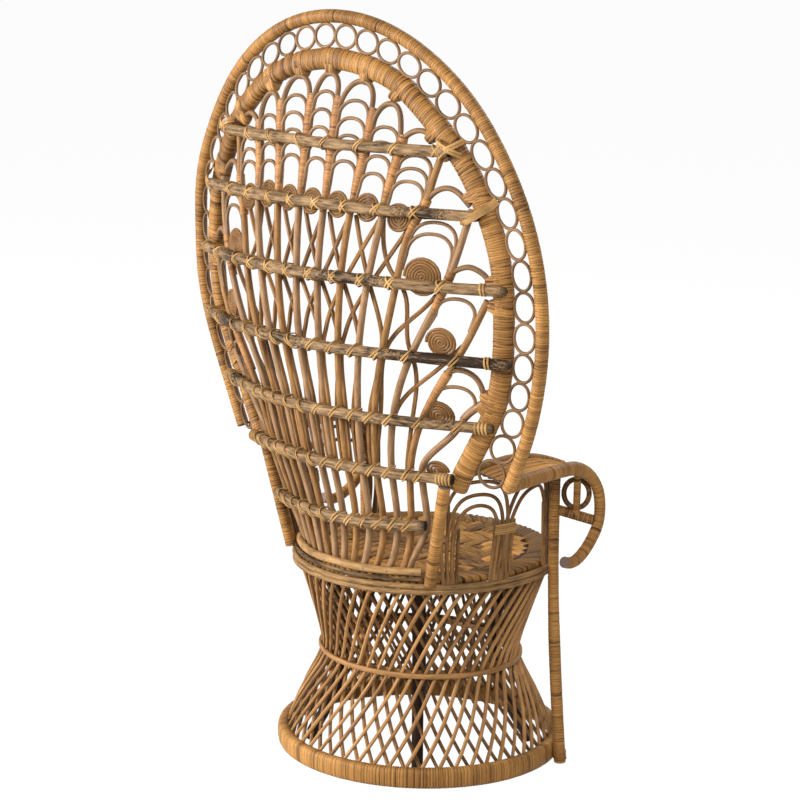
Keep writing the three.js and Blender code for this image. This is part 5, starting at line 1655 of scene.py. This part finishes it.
class CHAIR_OT_arm_loops(bpy.types.Operator):
    """Bends the nested loops under the arms"""

    bl_idname = "chair.arm_loops"
    bl_label = "Arm loops"

    def execute(self, context):
        arm_loops(context.scene.chair_sizes.loop_radius / MM)
        return {"FINISHED"}


class CHAIR_OT_stage(bpy.types.Operator):
    """Sets the floor, the light and the camera"""

    bl_idname = "chair.stage"
    bl_label = "Stage"

    def execute(self, context):
        look = context.scene.chair_stage
        studio_floor(look)
        surroundings(look)
        soft_lamps(look)
        photograph_view(look)
        return {"FINISHED"}


OPERATORS = (
    CHAIR_OT_base_hoop, CHAIR_OT_lattice, CHAIR_OT_inner_frame, CHAIR_OT_seat_hoops,
    CHAIR_OT_seat_rim, CHAIR_OT_seat_panel, CHAIR_OT_outer_hoop, CHAIR_OT_inner_band,
    CHAIR_OT_ring_chain, CHAIR_OT_bars, CHAIR_OT_stakes, CHAIR_OT_diagonals,
    CHAIR_OT_lashings, CHAIR_OT_arm_frame, CHAIR_OT_arm_braces, CHAIR_OT_armrests,
    CHAIR_OT_arm_loops, CHAIR_OT_stage,
)


class CHAIR_PT_panel(bpy.types.Panel):
    """Lists the pieces of the chair, their sizes and their colours"""

    bl_idname = "CHAIR_PT_panel"
    bl_label = "Peacock chair"
    bl_space_type = "VIEW_3D"
    bl_region_type = "UI"
    bl_category = "Chair"

    def draw(self, context):
        scene = context.scene
        for settings in (scene.chair_sizes, scene.chair_colours, scene.chair_stage):
            for name in settings.__annotations__:
                self.layout.prop(settings, name)
        for operator in OPERATORS:
            self.layout.operator(operator.bl_idname)


CLASSES = (ChairSizes, ChairColours, ChairStage, *OPERATORS, CHAIR_PT_panel)


def register():
    """Adds the classes and hangs the settings on the scene."""
    for item in CLASSES:
        bpy.utils.register_class(item)
    bpy.types.Scene.chair_sizes = bpy.props.PointerProperty(type=ChairSizes)
    bpy.types.Scene.chair_colours = bpy.props.PointerProperty(type=ChairColours)
    bpy.types.Scene.chair_stage = bpy.props.PointerProperty(type=ChairStage)


def unregister():
    """Takes the settings off the scene and removes the classes."""
    del bpy.types.Scene.chair_stage
    del bpy.types.Scene.chair_colours
    del bpy.types.Scene.chair_sizes
    for item in reversed(CLASSES):
        bpy.utils.unregister_class(item)


def main():
    """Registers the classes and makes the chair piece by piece."""
    register()
    bpy.ops.chair.base_hoop()
    bpy.ops.chair.lattice()
    bpy.ops.chair.inner_frame()
    bpy.ops.chair.seat_hoops()
    bpy.ops.chair.seat_rim()
    bpy.ops.chair.seat_panel()
    bpy.ops.chair.outer_hoop()
    bpy.ops.chair.inner_band()
    bpy.ops.chair.ring_chain()
    bpy.ops.chair.bars()
    bpy.ops.chair.stakes()
    bpy.ops.chair.diagonals()
    bpy.ops.chair.lashings()
    bpy.ops.chair.arm_frame()
    bpy.ops.chair.arm_braces()
    bpy.ops.chair.armrests()
    bpy.ops.chair.arm_loops()
    bpy.ops.chair.stage()


if __name__ == "__main__":
    main()
